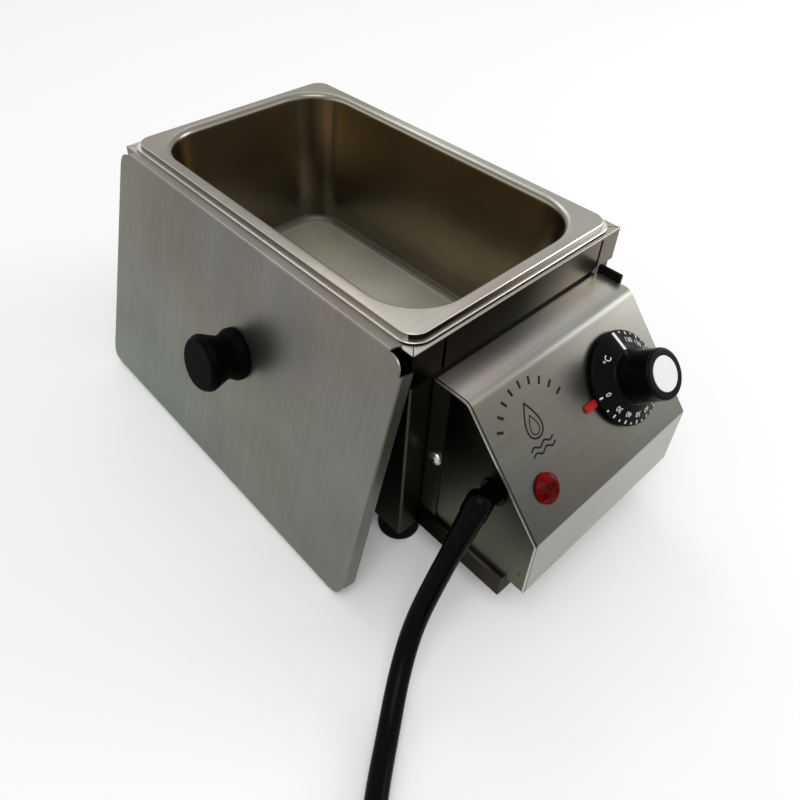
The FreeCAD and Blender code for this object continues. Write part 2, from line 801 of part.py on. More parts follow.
def panel_block(u, v, half_u, half_v, out_low, out_high, radius=0.0):
    """A block set square on the panel: out runs along the panel's outward normal."""
    corners = [on_panel(u + a * half_u, v + b * half_v, out_low) for a, b in ((-1, -1), (1, -1), (1, 1), (-1, 1))]
    return outline([tuple(c) for c in corners], radius).extrude(panel_out * (out_high - out_low))


def thermostat_body():
    """Capillary thermostat: mounting plate, switch housing, tab terminals and bush."""
    rear = -sheet
    plate_rear = rear - switch_plate
    floor = rear - switch_depth
    plate = panel_block(dial_u, dial_v, switch_plate_half_u, switch_plate_half_v, plate_rear, rear, 2.0)
    housing = panel_block(dial_u, dial_v, switch_half_u, switch_half_v, floor, plate_rear, 2.0)
    cell = cylinder(cell_radius, cell_depth, on_panel(dial_u, dial_v, floor), panel_out * -1)
    bush = cylinder(bush_radius, sheet, on_panel(dial_u, dial_v, rear), panel_out)
    solids = [plate, housing, cell, bush]
    tab_v = dial_v + switch_half_v + tab_half_length - 0.1
    for side in (-1, 1):
        for low in (floor + tab_step, floor + 2 * tab_step):
            solids.append(panel_block(dial_u + side * cell_radius, tab_v, tab_half_width, tab_half_length,
                                      low, low + tab_sheet))
    body = fused(solids)
    depth = shaft_depth + shaft_fit
    bore = cylinder(shaft_radius + shaft_fit, depth + 1, on_panel(dial_u, dial_v, 1), panel_out * -1)
    return body.cut([bore] + switch_screw_sinks(0.0))


def thermostat_screws():
    """Countersunk screws that hold the thermostat; the dial covers them."""
    screws = []
    for place in switch_screw_places():
        head = Part.makeCone(switch_screw_head, switch_screw, switch_screw_sink, place, panel_out * -1)
        shank = cylinder(switch_screw, switch_screw_length, place, panel_out * -1)
        screws.append(fused([head, shank]))
    return Part.makeCompound(screws)


def shaft_flat_block(end):
    """What the spindle's flat leaves out."""
    half = shaft_radius / 2
    return panel_block(dial_u, dial_v + shaft_flat + half, 2 * half + 1, half, flat_start, end)


def thermostat_shaft():
    """Spindle with a flat for the dial, turning in the thermostat's bush."""
    start = on_panel(dial_u, dial_v, -shaft_depth)
    shaft = cylinder(shaft_radius, shaft_depth + shaft_reach, start, panel_out)
    return shaft.cut(shaft_flat_block(shaft_reach + 1))


def dial_knob():
    """Bakelite dial: sloping skirt for the scale, tall grip, and a recess for its end disc."""
    base = dial_base
    skirt = base + dial_skirt
    top = dial_height
    recess = cap_disc_radius + 0.2
    profile = [(dial_hollow, base), (dial_radius - 0.5, base), (dial_radius, base + 0.5),
               (dial_radius - 0.3, base + dial_rim, 0.5), (dial_radius - 8.0, skirt - 1.6, 5.0),
               (grip_radius_foot, skirt, 2.0), (grip_radius_end, top, 1.4), (recess, top),
               (recess, top - cap_disc_depth), (0, top - cap_disc_depth), (0, base + dial_web),
               (dial_hollow, base + dial_web)]
    knob = revolved(profile, on_panel(dial_u, dial_v), panel_out)
    hub = cylinder(shaft_radius + 3.5, dial_web + 1.0, on_panel(dial_u, dial_v, base), panel_out)
    knob = fused([knob, hub])
    bore_end = shaft_reach + 1.0
    bore = cylinder(shaft_radius, bore_end, on_panel(dial_u, dial_v), panel_out)
    return knob.cut(bore.cut(shaft_flat_block(bore_end)))


def dial_disc():
    base = on_panel(dial_u, dial_v, dial_height - cap_disc_depth)
    profile = [(0, 0), (cap_disc_radius, 0), (cap_disc_radius, cap_disc_depth + 0.2, 0.4), (0, cap_disc_depth + 0.2)]
    return revolved(profile, base, panel_out)


def dial_pointer():
    """Raised red mark on the panel; its end lies under the dial's skirt."""
    u = dial_u - dial_radius + pointer_tuck - pointer_length / 2
    mark = panel_block(u, dial_v + pointer_drop, pointer_length / 2, pointer_width / 2, 0.0, pointer_height, 1.4)
    top = on_panel(u, dial_v, pointer_height)
    rim = [e for e in mark.Edges if abs((e.CenterOfMass - top).dot(panel_out)) < 1e-6]
    return mark.makeFillet(0.6, rim)


def lamp_polygon(radius, out):
    points = [on_panel(lamp_u + radius * math.cos(a), lamp_v + radius * math.sin(a), out)
              for a in [2 * math.pi * k / lens_sides for k in range(lens_sides + 1)]]
    return Part.makePolygon(points)


def pilot_lamp_lens():
    """Moulded lens: round skirt, faceted crown and flat table."""
    skirt = cylinder(lens_radius, lens_skirt, on_panel(lamp_u, lamp_v), panel_out)
    foot = lamp_polygon(lens_radius - 0.3, lens_skirt)
    crown = Part.makeLoft([foot, lamp_polygon(lens_radius * 0.62, lens_height)], True, True)
    return fused([skirt, crown])


def pilot_lamp_body():
    """Barrel behind the lens, with two tab terminals at its end."""
    barrel = cylinder(lamp_barrel, lamp_depth, on_panel(lamp_u, lamp_v), panel_out * -1)
    end = -lamp_depth
    tabs = [panel_block(lamp_u + side * lamp_tab_spread, lamp_v, 0.4, 2.2, end - lamp_tab_reach, end)
            for side in (-1, 1)]
    return fused([barrel] + tabs)


def pilot_lamp_nut():
    start = on_panel(lamp_u, lamp_v, -sheet)
    ring = cylinder(lamp_barrel + lamp_nut_wall, lamp_nut_height, start, panel_out * -1)
    return ring.cut(cylinder(lamp_barrel, lamp_nut_height + 2.0, start + panel_out, panel_out * -1))


def thermostat_capillary():
    """Sensing bulb under the tank and the thin tube that joins it to the thermostat."""
    bulb_start = -tank_half_y + bulb_setback
    bulb = cylinder(bulb_radius, bulb_length, V(bulb_x, bulb_start, bulb_z), V(0, 1, 0))
    bulb = bulb.makeFillet(bulb_radius / 2, bulb.Edges)
    start = on_panel(dial_u, dial_v, -sheet - switch_depth - cell_depth)
    knee = start - panel_out * 8.0
    points = [tuple(start), tuple(knee), (bulb_x, box_rear - 4.0, bulb_z + 14.0),
              (bulb_x, box_rear - 2.0, bulb_z), (bulb_x, bulb_start + 1.0, bulb_z)]
    line, _ = tube(points, capillary_radius, [0, 3.0, 6.0, 4.0, 0])
    return fused([bulb, line])


def terminal_block():
    """Three-way block on the box's floor, with its wire entries and clamp screws' wells."""
    low = cheek_bottom + 2 * sheet
    x0, y0 = -8.0, box_rear - 32.0
    half_x, half_y = 18.0, 9.0
    pitch, post = 12.0, 4.5
    body = block((x0 - half_x, y0 - half_y, low), (x0 + half_x, y0 + half_y, low + 9))
    ways = [x0 + k * pitch for k in (-1, 0, 1)]
    body = fused([body] + [block((x - post, y0 - half_y, low + 9), (x + post, y0 + half_y, low + 16)) for x in ways])
    cuts = []
    for x in ways:
        cuts.append(cylinder(2.2, 2 * half_y + 2, V(x, y0 - half_y - 1, low + 6), V(0, 1, 0)))
        for side in (-1, 1):
            cuts.append(cylinder(1.8, 4.0, V(x, y0 + side * 5, low + 13), V(0, 0, 1)))
    return body.cut(cuts)


def lid_reaches_cap():
    """Whether the lid is long enough to hook its top flange over the cap."""
    upright = (lid_width - sheet) * math.cos(math.radians(lid_side_lean))
    return upright > casing_top + seat_gap


def lid_lean():
    """Angle from upright at which the lid stands on the table and leans on the casing."""
    if lid_reaches_cap():
        return math.acos((casing_top + seat_gap) / (lid_width - sheet))
    return math.radians(lid_side_lean)


def lid_placement():
    """From the lid's own frame (x down from its top edge, z out of its face) to the lean.

    The top flange lies on the cap with its tip beside the pan's rim, or on a short lid it
    touches the cap's side.
    """
    lean = lid_lean()
    sine, cosine = math.sin(lean), math.cos(lean)
    tip_x = -pan_width / 2 - lid_lean_gap if lid_reaches_cap() else -cap_half_x - seat_gap
    top_x = tip_x - lid_flange * cosine
    top_z = lid_width * cosine + lid_flange * sine
    matrix = FreeCAD.Matrix(-sine, 0, -cosine, top_x, 0, -1, 0, lid_shift, -cosine, 0, sine, top_z, 0, 0, 0, 1)
    return FreeCAD.Placement(matrix)


def lid_tray():
    """Folded lid: a flat face and four flanges that stop short of its rounded corners."""
    relief = lid_corner + 1.0
    half = lid_length / 2
    across = [(0, -lid_flange), (0, 0), (lid_width, 0), (lid_width, -lid_flange)]
    across.reverse()
    along = [(-half, -lid_flange), (-half, 0), (half, 0), (half, -lid_flange)]
    along.reverse()
    wide = folded(across, at_y(-half + relief)).extrude(V(0, lid_length - 2 * relief, 0))
    long = folded(along, at_x(relief)).extrude(V(lid_width - 2 * relief, 0, 0))
    face = slab(lid_width / 2 - bend, half - bend, lid_corner - bend, -sheet, 0, lid_width / 2, 0)
    lid = fused([wide, long, face])
    hole = cylinder(knob_screw + screw_clearance, 4 * sheet, V(knob_down, -knob_along, -2 * sheet), V(0, 0, 1))
    lid = lid.cut(hole)
    lid.Placement = lid_placement()
    return lid


def lid_knob():
    """Turned knob: a broad foot, a waist and a flared head that is widest near its top."""
    profile = [(knob_bore, 0.0), (knob_foot, 0.0, 0.8), (knob_foot, knob_foot_height, 1.4),
               (knob_waist, knob_waist_height, 7.0), (knob_head, knob_head_height, 2.5),
               (knob_head - 2.0, knob_height, 2.4), (0, knob_height), (0, knob_bore_depth),
               (knob_bore, knob_bore_depth)]
    knob = revolved(profile, V(knob_down, -knob_along, 0))
    knob.Placement = lid_placement().multiply(knob.Placement)
    return knob


def lid_knob_screw():
    length = knob_bore_depth + sheet - 1.5
    place = V(knob_down, -knob_along, -sheet)
    screw = pan_head_screw(place, V(0, 0, -1), knob_screw, length, 4.0, 2.6)
    screw.Placement = lid_placement().multiply(screw.Placement)
    return screw


def relief_axis():
    """Middle of the elbow's head, and the direction in which the cord leaves it."""
    start = V(*cord_points[0])
    aim = (V(*cord_points[1]) - start).normalize()
    return start - aim * (relief_reach + relief_sleeve), aim


def strain_relief():
    """Moulded elbow: a neck through the left side plate, a round head and a tapered sleeve."""
    head, aim = relief_axis()
    plate = -cheek_outer
    inner = plate + sheet
    neck = cylinder(relief_neck, inner - head.x, V(head.x, head.y, head.z), V(1, 0, 0))
    collar = cylinder(relief_collar, relief_collar_depth, V(plate, head.y, head.z), V(-1, 0, 0))
    back = cylinder(relief_collar, relief_back, V(inner, head.y, head.z), V(1, 0, 0))
    profile = [(0, -relief_head), (relief_head, -relief_head, relief_head - 1.5),
               (relief_head, relief_reach, 1.0), (relief_root, relief_reach + 0.4),
               (relief_tip, relief_reach + relief_sleeve), (0, relief_reach + relief_sleeve)]
    return fused([neck, collar, back, revolved(profile, head, aim)])


def bend_radii(points):
    """Each bend as large as its two runs allow: 0.45 of the shorter over the tangent of half the turn."""
    points = [V(*p) for p in points]
    radii = [0.0]
    for before, here, after in zip(points, points[1:], points[2:]):
        turn = (here - before).getAngle(after - here)
        shorter = min((here - before).Length, (after - here).Length)
        radii.append(0.45 * shorter / math.tan(turn / 2))
    return radii + [0.0]


def supply_cord():
    radii = bend_radii(cord_points)
    solid, length = tube(cord_points, cord_radius, radii)
    print("cord radii", [round(r) for r in radii[1:-1]], "run length", round(length, 1))
    return solid


def coil_half():
    return coil_turns_wide * cord_radius + coil_slack


def coil_height():
    return 2 * cord_radius * coil_turns_high + coil_slack


def coil_entry():
    """Straight lead into the coil, long enough to keep the cord's end clear of the turns."""
    outer = coil_mean + coil_half() + coil_gap
    return math.sqrt(outer ** 2 - (coil_mean - cord_radius) ** 2)


def coil_centre():
    """The coil's turns start tangent to the cord's last run, and curl to its left."""
    last, before = V(*cord_points[-1]), V(*cord_points[-2])
    heading = (last - before).normalize()
    start = last + heading * coil_entry()
    side = V(-heading.y, heading.x, 0)
    return V(start.x, start.y, 0) + side * coil_mean


def plug_end():
    """Where the cord enters the plug, beside the coil's far side."""
    centre = coil_centre()
    return V(centre.x + coil_entry() + plug_lead, centre.y - coil_mean, plug_radius)


def cord_coil():
    """The stored length as one ring of its outer shape, with its two ends leading out."""
    low, high = coil_mean - coil_half(), coil_mean + coil_half()
    profile = [(r, z, coil_edge) for r, z in ((low, 0.0), (high, 0.0), (high, coil_height()), (low, coil_height()))]
    ring = revolved(profile, coil_centre())
    last, before = V(*cord_points[-1]), V(*cord_points[-2])
    tail = cylinder(cord_radius, coil_entry(), last, last - before)
    lead = cylinder(cord_radius, coil_entry() + plug_lead, plug_end(), V(-1, 0, 0))
    return fused([ring, tail, lead])


def cord_tie():
    """Strap over the coil's turns."""
    inside = math.sqrt((coil_mean - coil_half()) ** 2 - tie_half_width ** 2) - fit_gap
    outside = coil_mean + coil_half() + fit_gap
    low, high = fit_gap, coil_height() + fit_gap
    line = [(inside, low), (inside, high), (outside, high), (outside, low)]
    outer = inset_line(line, tie_thickness)
    ring = outline([(x, -tie_half_width, z) for x, z in line + outer[::-1]])
    strap = ring.extrude(V(0, 2 * tie_half_width, 0))
    strap.Placement = FreeCAD.Placement(coil_centre(), FreeCAD.Rotation(V(0, 0, 1), tie_angle))
    return strap


def mains_plug():
    """Round earthed plug lying on the table at the cord's end."""
    place = plug_end()
    relief = plug_relief
    profile = [(0, 0), (cord_radius + 1.2, 0, 0.6), (cord_radius + 2.6, relief * 0.9, 2.0),
               (plug_radius - 3.0, relief, 4.0), (plug_radius - 0.2, relief + 10.0, 6.0),
               (plug_radius - 0.2, relief + plug_body, 1.0), (0, relief + plug_body)]
    return revolved(profile, place, V(1, 0, 0))


def plug_pins():
    base = plug_end() + V(plug_relief + plug_body, 0, 0)
    pins = []
    for side in (-1, 1):
        pin = cylinder(pin_radius, pin_length, base + V(0, side * pin_spacing / 2, 0), V(1, 0, 0))
        pins.append(pin.makeFillet(1.2, [pin.Edges[0]] if pin.Edges[0].CenterOfMass.x > base.x + 1 else [pin.Edges[2]]))
    return Part.makeCompound(pins)


def build():
    parts = {
        "top_cap": top_cap(),
        "casing_shell": casing_shell(),
        "base_plate": base_plate(),
        "foot_screws": foot_screws(),
        "inner_tank": inner_tank(),
        "heating_element": heating_element(),
        "heater_straps": heater_straps(),
        "insulation_blanket": insulation_blanket(),
        "food_pan": food_pan(),
        "mounting_frame": mounting_frame(),
        "frame_screws": frame_screws(),
        "neck_screws": neck_screws(),
        "support_channel": support_channel(),
        "control_cover": control_cover(),
        "control_cheek_left": control_cheek(-1),
        "control_cheek_right": control_cheek(1),
        "control_floor": control_floor(),
        "edge_trim": edge_trim(),
        "thermostat_body": thermostat_body(),
        "thermostat_screws": thermostat_screws(),
        "thermostat_capillary": thermostat_capillary(),
        "thermostat_shaft": thermostat_shaft(),
        "dial_knob": dial_knob(),
        "dial_disc": dial_disc(),
        "dial_pointer": dial_pointer(),
        "pilot_lamp_lens": pilot_lamp_lens(),
        "pilot_lamp_body": pilot_lamp_body(),
        "pilot_lamp_nut": pilot_lamp_nut(),
        "terminal_block": terminal_block(),
        "lid_tray": lid_tray(),
        "lid_knob": lid_knob(),
        "lid_knob_screw": lid_knob_screw(),
        "strain_relief": strain_relief(),
        "supply_cord": supply_cord(),
        "cord_coil": cord_coil(),
        "cord_tie": cord_tie(),
        "mains_plug": mains_plug(),
        "plug_pins": plug_pins(),
    }
    corners = ["front_left", "front_right", "rear_left", "rear_right"]
    for corner, (x, y) in zip(corners, foot_places()):
        parts["rubber_foot_" + corner] = rubber_foot(x, y)
    return parts


os.makedirs("parts", exist_ok=True)
for name, shape in build().items():
    if not shape.isValid():
        print("invalid solid:", name)
    shape.exportStep(f"parts/{name}.step")
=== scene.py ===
import json
import math

import bmesh
import bpy
from mathutils import Matrix, Vector
from mathutils.bvhtree import BVHTree


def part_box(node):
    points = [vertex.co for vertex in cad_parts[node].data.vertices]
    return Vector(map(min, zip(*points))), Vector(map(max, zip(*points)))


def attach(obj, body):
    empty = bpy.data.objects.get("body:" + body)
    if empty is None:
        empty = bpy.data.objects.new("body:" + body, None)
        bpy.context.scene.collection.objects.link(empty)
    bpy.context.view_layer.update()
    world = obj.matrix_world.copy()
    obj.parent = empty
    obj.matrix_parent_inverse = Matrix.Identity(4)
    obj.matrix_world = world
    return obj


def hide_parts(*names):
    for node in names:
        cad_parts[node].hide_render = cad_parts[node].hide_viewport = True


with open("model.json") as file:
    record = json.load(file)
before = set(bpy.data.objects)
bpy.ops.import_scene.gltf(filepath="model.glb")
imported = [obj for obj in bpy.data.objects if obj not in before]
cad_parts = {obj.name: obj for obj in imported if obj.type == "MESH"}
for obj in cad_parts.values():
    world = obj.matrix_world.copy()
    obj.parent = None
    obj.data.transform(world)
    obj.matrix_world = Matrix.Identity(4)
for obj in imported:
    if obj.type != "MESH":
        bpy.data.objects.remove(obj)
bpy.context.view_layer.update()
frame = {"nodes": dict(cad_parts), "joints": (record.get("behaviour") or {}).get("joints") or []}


# Camera
# A short lens close above the front left corner, with the crop that the picture has. Its place and turn
# were fitted to the edges of the casing, the pan and the lid.
camera_data = bpy.data.cameras.new("camera")
camera_data.lens = 32.918
camera_data.shift_x = 0.0481
camera_data.shift_y = -0.1063
camera_data.clip_start = 0.01
camera_data.clip_end = 50
camera_yaw, camera_pitch, camera_roll = (math.radians(a) for a in (42.229, 39.747, 1.017))
ahead = Vector((math.sin(camera_yaw) * math.cos(camera_pitch), math.cos(camera_yaw) * math.cos(camera_pitch),
                -math.sin(camera_pitch)))
level = Vector((math.cos(camera_yaw), -math.sin(camera_yaw), 0))
upright = level.cross(ahead)
across = level * math.cos(camera_roll) + upright * math.sin(camera_roll)
above = upright * math.cos(camera_roll) - level * math.sin(camera_roll)
camera = bpy.data.objects.new("camera", camera_data)
camera.matrix_world = Matrix((across, above, -ahead)).transposed().to_4x4()
camera.location = (-0.26295, -0.29802, 0.38244)
bpy.context.collection.objects.link(camera)
bpy.context.scene.camera = camera


# Mains lead
# Round rubber-sheathed lead of 11 mm. It leaves the moulded elbow in the left side plate, drops to the
# table and runs forward; the rest lies in a tied coil of a little over three turns, with its plug beside it.
MM = 0.001
full_turn = 2 * math.pi
nodes = frame["nodes"]
cord_radius = 5.5 * MM
cord_gap = 0.1 * MM
cord_rest = cord_radius + cord_gap
cord_route = [
    (-0.0920, -0.1797, 0.0664),
    (-0.1065, -0.1802, 0.0457),
    (-0.1213, -0.1829, 0.0266),
    (-0.1383, -0.1920, 0.0134),
    (-0.1569, -0.2050, 0.0065),
    (-0.1770, -0.2192, cord_rest),
    (-0.1960, -0.2350, cord_rest),
    (-0.2130, -0.2535, cord_rest),
]
plug_low, plug_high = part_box("mains_plug")
plug_end = Vector((plug_low.x, (plug_low.y + plug_high.y) / 2, (plug_low.z + plug_high.z) / 2))
coil_mean = 58.5 * MM
coil_lead = 46.2 * MM
run_heading = (Vector(cord_route[-1]) - Vector(cord_route[-2])).normalized()
run_side = Vector((-run_heading.y, run_heading.x, 0))
coil_start = Vector(cord_route[-1]) + run_heading * coil_lead
coil_centre = coil_start + run_side * coil_mean
first_angle = math.atan2(-run_side.y, -run_side.x)
outer_turn = coil_mean + cord_radius + cord_gap
inner_turn = coil_mean - cord_radius - cord_gap
upper_layer = cord_rest + 2 * cord_radius + 2 * cord_gap
# Each bend of the winding: turns from the start, radius and height.
winding = [(0.03, outer_turn, cord_rest), (0.72, outer_turn, cord_rest), (0.94, inner_turn, cord_rest),
           (1.80, inner_turn, cord_rest), (2.00, inner_turn, upper_layer), (2.86, inner_turn, upper_layer),
           (3.06, outer_turn, upper_layer), (3.38, outer_turn, upper_layer)]


def wound(turn):
    """The winding's radius and height after a number of turns."""
    for (t0, r0, z0), (t1, r1, z1) in zip(winding, winding[1:]):
        if turn <= t1:
            share = min(max((turn - t0) / (t1 - t0), 0), 1)
            return r0 + (r1 - r0) * share, z0 + (z1 - z0) * share
    return r1, z1


# The lead leaves the coil at its front and enters the plug's grip in a straight line.
whole_turns = 3
leaving_angle = 1.5 * math.pi
turns_end = whole_turns + ((leaving_angle - first_angle) % full_turn) / full_turn
steps_per_turn = 18
bend_along, bend_beside, grip_length = 12 * MM, 3 * MM, 18 * MM
cord_points = [Vector(p) for p in cord_route]
for step in range(1, int(turns_end * steps_per_turn) + 1):
    turn = step / steps_per_turn
    radius, height = wound(turn)
    angle = first_angle + turn * full_turn
    cord_points.append(Vector((coil_centre.x + radius * math.cos(angle),
                               coil_centre.y + radius * math.sin(angle), height)))
cord_points.append(Vector((coil_centre.x + bend_along, plug_end.y - bend_beside, plug_end.z)))
cord_points.append(plug_end - Vector((grip_length, 0, 0)))
cord_points.append(plug_end)

cord_curve = bpy.data.curves.new("supply_lead", "CURVE")
cord_curve.dimensions = "3D"
cord_curve.bevel_depth = cord_radius
cord_curve.bevel_resolution = 7
cord_curve.resolution_u = 10
cord_curve.use_fill_caps = True
spline = cord_curve.splines.new("NURBS")
spline.points.add(len(cord_points) - 1)
for point, place in zip(spline.points, cord_points):
    point.co = (*place, 1)
spline.order_u = 3
spline.use_endpoint_u = True
supply_lead = bpy.data.objects.new("supply_lead", cord_curve)
bpy.context.collection.objects.link(supply_lead)

rubber = bpy.data.materials.new("black rubber")
rubber.use_nodes = True
tree = rubber.node_tree
shader = tree.nodes["Principled BSDF"]
shader.inputs["Base Color"].default_value = (0.001, 0.001, 0.001, 1)
shader.inputs["Specular IOR Level"].default_value = 0.05
place = tree.nodes.new("ShaderNodeTexCoord")
bloom = tree.nodes.new("ShaderNodeTexNoise")
bloom.inputs["Scale"].default_value = 60
bloom.inputs["Detail"].default_value = 5
tree.links.new(place.outputs["Object"], bloom.inputs["Vector"])
gloss = tree.nodes.new("ShaderNodeMapRange")
gloss.inputs["To Min"].default_value = 0.16
gloss.inputs["To Max"].default_value = 0.28
tree.links.new(bloom.outputs["Fac"], gloss.inputs["Value"])
tree.links.new(gloss.outputs["Result"], shader.inputs["Roughness"])
supply_lead.data.materials.append(rubber)

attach(supply_lead, "root")
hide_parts("supply_cord", "cord_coil")


def plain_material(name, color, roughness, metallic=0.0, mottle=0.15, scale=40.0, bump=0.0, specular=0.5):
    """A moulded or cast surface whose gloss and tone wander a little."""
    material = bpy.data.materials.new(name)
    material.use_nodes = True
    tree = material.node_tree
    shader = tree.nodes["Principled BSDF"]
    shader.inputs["Metallic"].default_value = metallic
    shader.inputs["Specular IOR Level"].default_value = specular
    place = tree.nodes.new("ShaderNodeTexCoord")
    cloud = tree.nodes.new("ShaderNodeTexNoise")
    cloud.inputs["Scale"].default_value = scale
    cloud.inputs["Detail"].default_value = 4
    tree.links.new(place.outputs["Object"], cloud.inputs["Vector"])
    tint = tree.nodes.new("ShaderNodeMix")
    tint.data_type = "RGBA"
    tint.inputs["A"].default_value = (*[c * (1 - mottle) for c in color], 1)
    tint.inputs["B"].default_value = (*[min(c * (1 + mottle), 1) for c in color], 1)
    tree.links.new(cloud.outputs["Fac"], tint.inputs["Factor"])
    tree.links.new(tint.outputs["Result"], shader.inputs["Base Color"])
    gloss = tree.nodes.new("ShaderNodeMapRange")
    gloss.inputs["To Min"].default_value = roughness * 0.8
    gloss.inputs["To Max"].default_value = roughness * 1.2
    tree.links.new(cloud.outputs["Fac"], gloss.inputs["Value"])
    tree.links.new(gloss.outputs["Result"], shader.inputs["Roughness"])
    if bump:
        relief = tree.nodes.new("ShaderNodeBump")
        relief.inputs["Strength"].default_value = bump
        relief.inputs["Distance"].default_value = 0.2 * MM
        tree.links.new(cloud.outputs["Fac"], relief.inputs["Height"])
        tree.links.new(relief.outputs["Normal"], shader.inputs["Normal"])
    return material


def dress(material, *names):
    """Give CAD nodes this one material."""
    for name in names:
        nodes[name].data.materials.clear()
        nodes[name].data.materials.append(material)


dress(rubber, "strain_relief", "mains_plug")
dress(plain_material("nickelled pins", (0.62, 0.58, 0.45), 0.25, metallic=1.0), "plug_pins")
dress(plain_material("nylon strap", (0.01, 0.01, 0.01), 0.5, bump=0.3, specular=0.3), "cord_tie")


# Table and light
# A seamless white table under a pale surround, lit at a plain level by three soft lamps: one low from the
# right, one from behind and one overhead.
def linked_piece(name, shape):
    """Turn a finished bmesh into an object of the scene that stands at the origin."""
    mesh = bpy.data.meshes.new(name)
    shape.to_mesh(mesh)
    shape.free()
    piece = bpy.data.objects.new(name, mesh)
    bpy.context.collection.objects.link(piece)
    return piece


table_half = 4
table_drop = 0.2 * MM
sheet = bmesh.new()
bmesh.ops.create_grid(sheet, x_segments=1, y_segments=1, size=table_half)
table = linked_piece("table", sheet)
table.location.z = -table_drop
paper = bpy.data.materials.new("white paper")
paper.use_nodes = True
tree = paper.node_tree
shader = tree.nodes["Principled BSDF"]
shader.inputs["Base Color"].default_value = (0.93, 0.93, 0.93, 1)
shader.inputs["Roughness"].default_value = 0.9
shader.inputs["Specular IOR Level"].default_value = 0.0
shader.inputs["Emission Color"].default_value = (1, 1, 1, 1)
rays = tree.nodes.new("ShaderNodeLightPath")
lift = tree.nodes.new("ShaderNodeMapRange")
lift.inputs["To Max"].default_value = 0.09
tree.links.new(rays.outputs["Is Camera Ray"], lift.inputs["Value"])
tree.links.new(lift.outputs["Result"], shader.inputs["Emission Strength"])
table.data.materials.append(paper)

world = bpy.data.worlds.new("studio")
bpy.context.scene.world = world
world.use_nodes = True
tree = world.node_tree
background = tree.nodes["Background"]
background.inputs["Color"].default_value = (1, 1, 1, 1)
rays = tree.nodes.new("ShaderNodeLightPath")
seen = tree.nodes.new("ShaderNodeMath")
seen.operation = "ADD"
tree.links.new(rays.outputs["Is Camera Ray"], seen.inputs[0])
tree.links.new(rays.outputs["Is Glossy Ray"], seen.inputs[1])
seen_through = tree.nodes.new("ShaderNodeMath")
seen_through.operation = "ADD"
seen_through.use_clamp = True
tree.links.new(seen.outputs[0], seen_through.inputs[0])
tree.links.new(rays.outputs["Is Transmission Ray"], seen_through.inputs[1])
strength = tree.nodes.new("ShaderNodeMapRange")
strength.inputs["To Min"].default_value = 0.55
strength.inputs["To Max"].default_value = 1.0
tree.links.new(seen_through.outputs[0], strength.inputs["Value"])
tree.links.new(strength.outputs["Result"], background.inputs["Strength"])


def soft_lamp(name, place, aim, size, power):
    """A rectangular lamp that looks at a point; size is its width and height in metres."""
    lamp_data = bpy.data.lights.new(name, "AREA")
    lamp_data.shape = "RECTANGLE"
    lamp_data.size, lamp_data.size_y = size
    lamp_data.energy = power
    lamp = bpy.data.objects.new(name, lamp_data)
    lamp.location = place
    lamp.rotation_euler = (Vector(aim) - Vector(place)).to_track_quat("-Z", "Y").to_euler()
    bpy.context.collection.objects.link(lamp)


soft_lamp("key", place=(1.6, -0.9, 0.75), aim=(0, 0, 0.08), size=(0.9, 0.9), power=11)
soft_lamp("back", place=(0.6, 1.6, 1.9), aim=(0, 0, 0.1), size=(1.6, 0.8), power=9)
soft_lamp("overhead", place=(-0.7, -0.6, 1.8), aim=(0, 0, 0.1), size=(1.2, 1.2), power=12)
bpy.context.scene.view_settings.view_transform = "Standard"


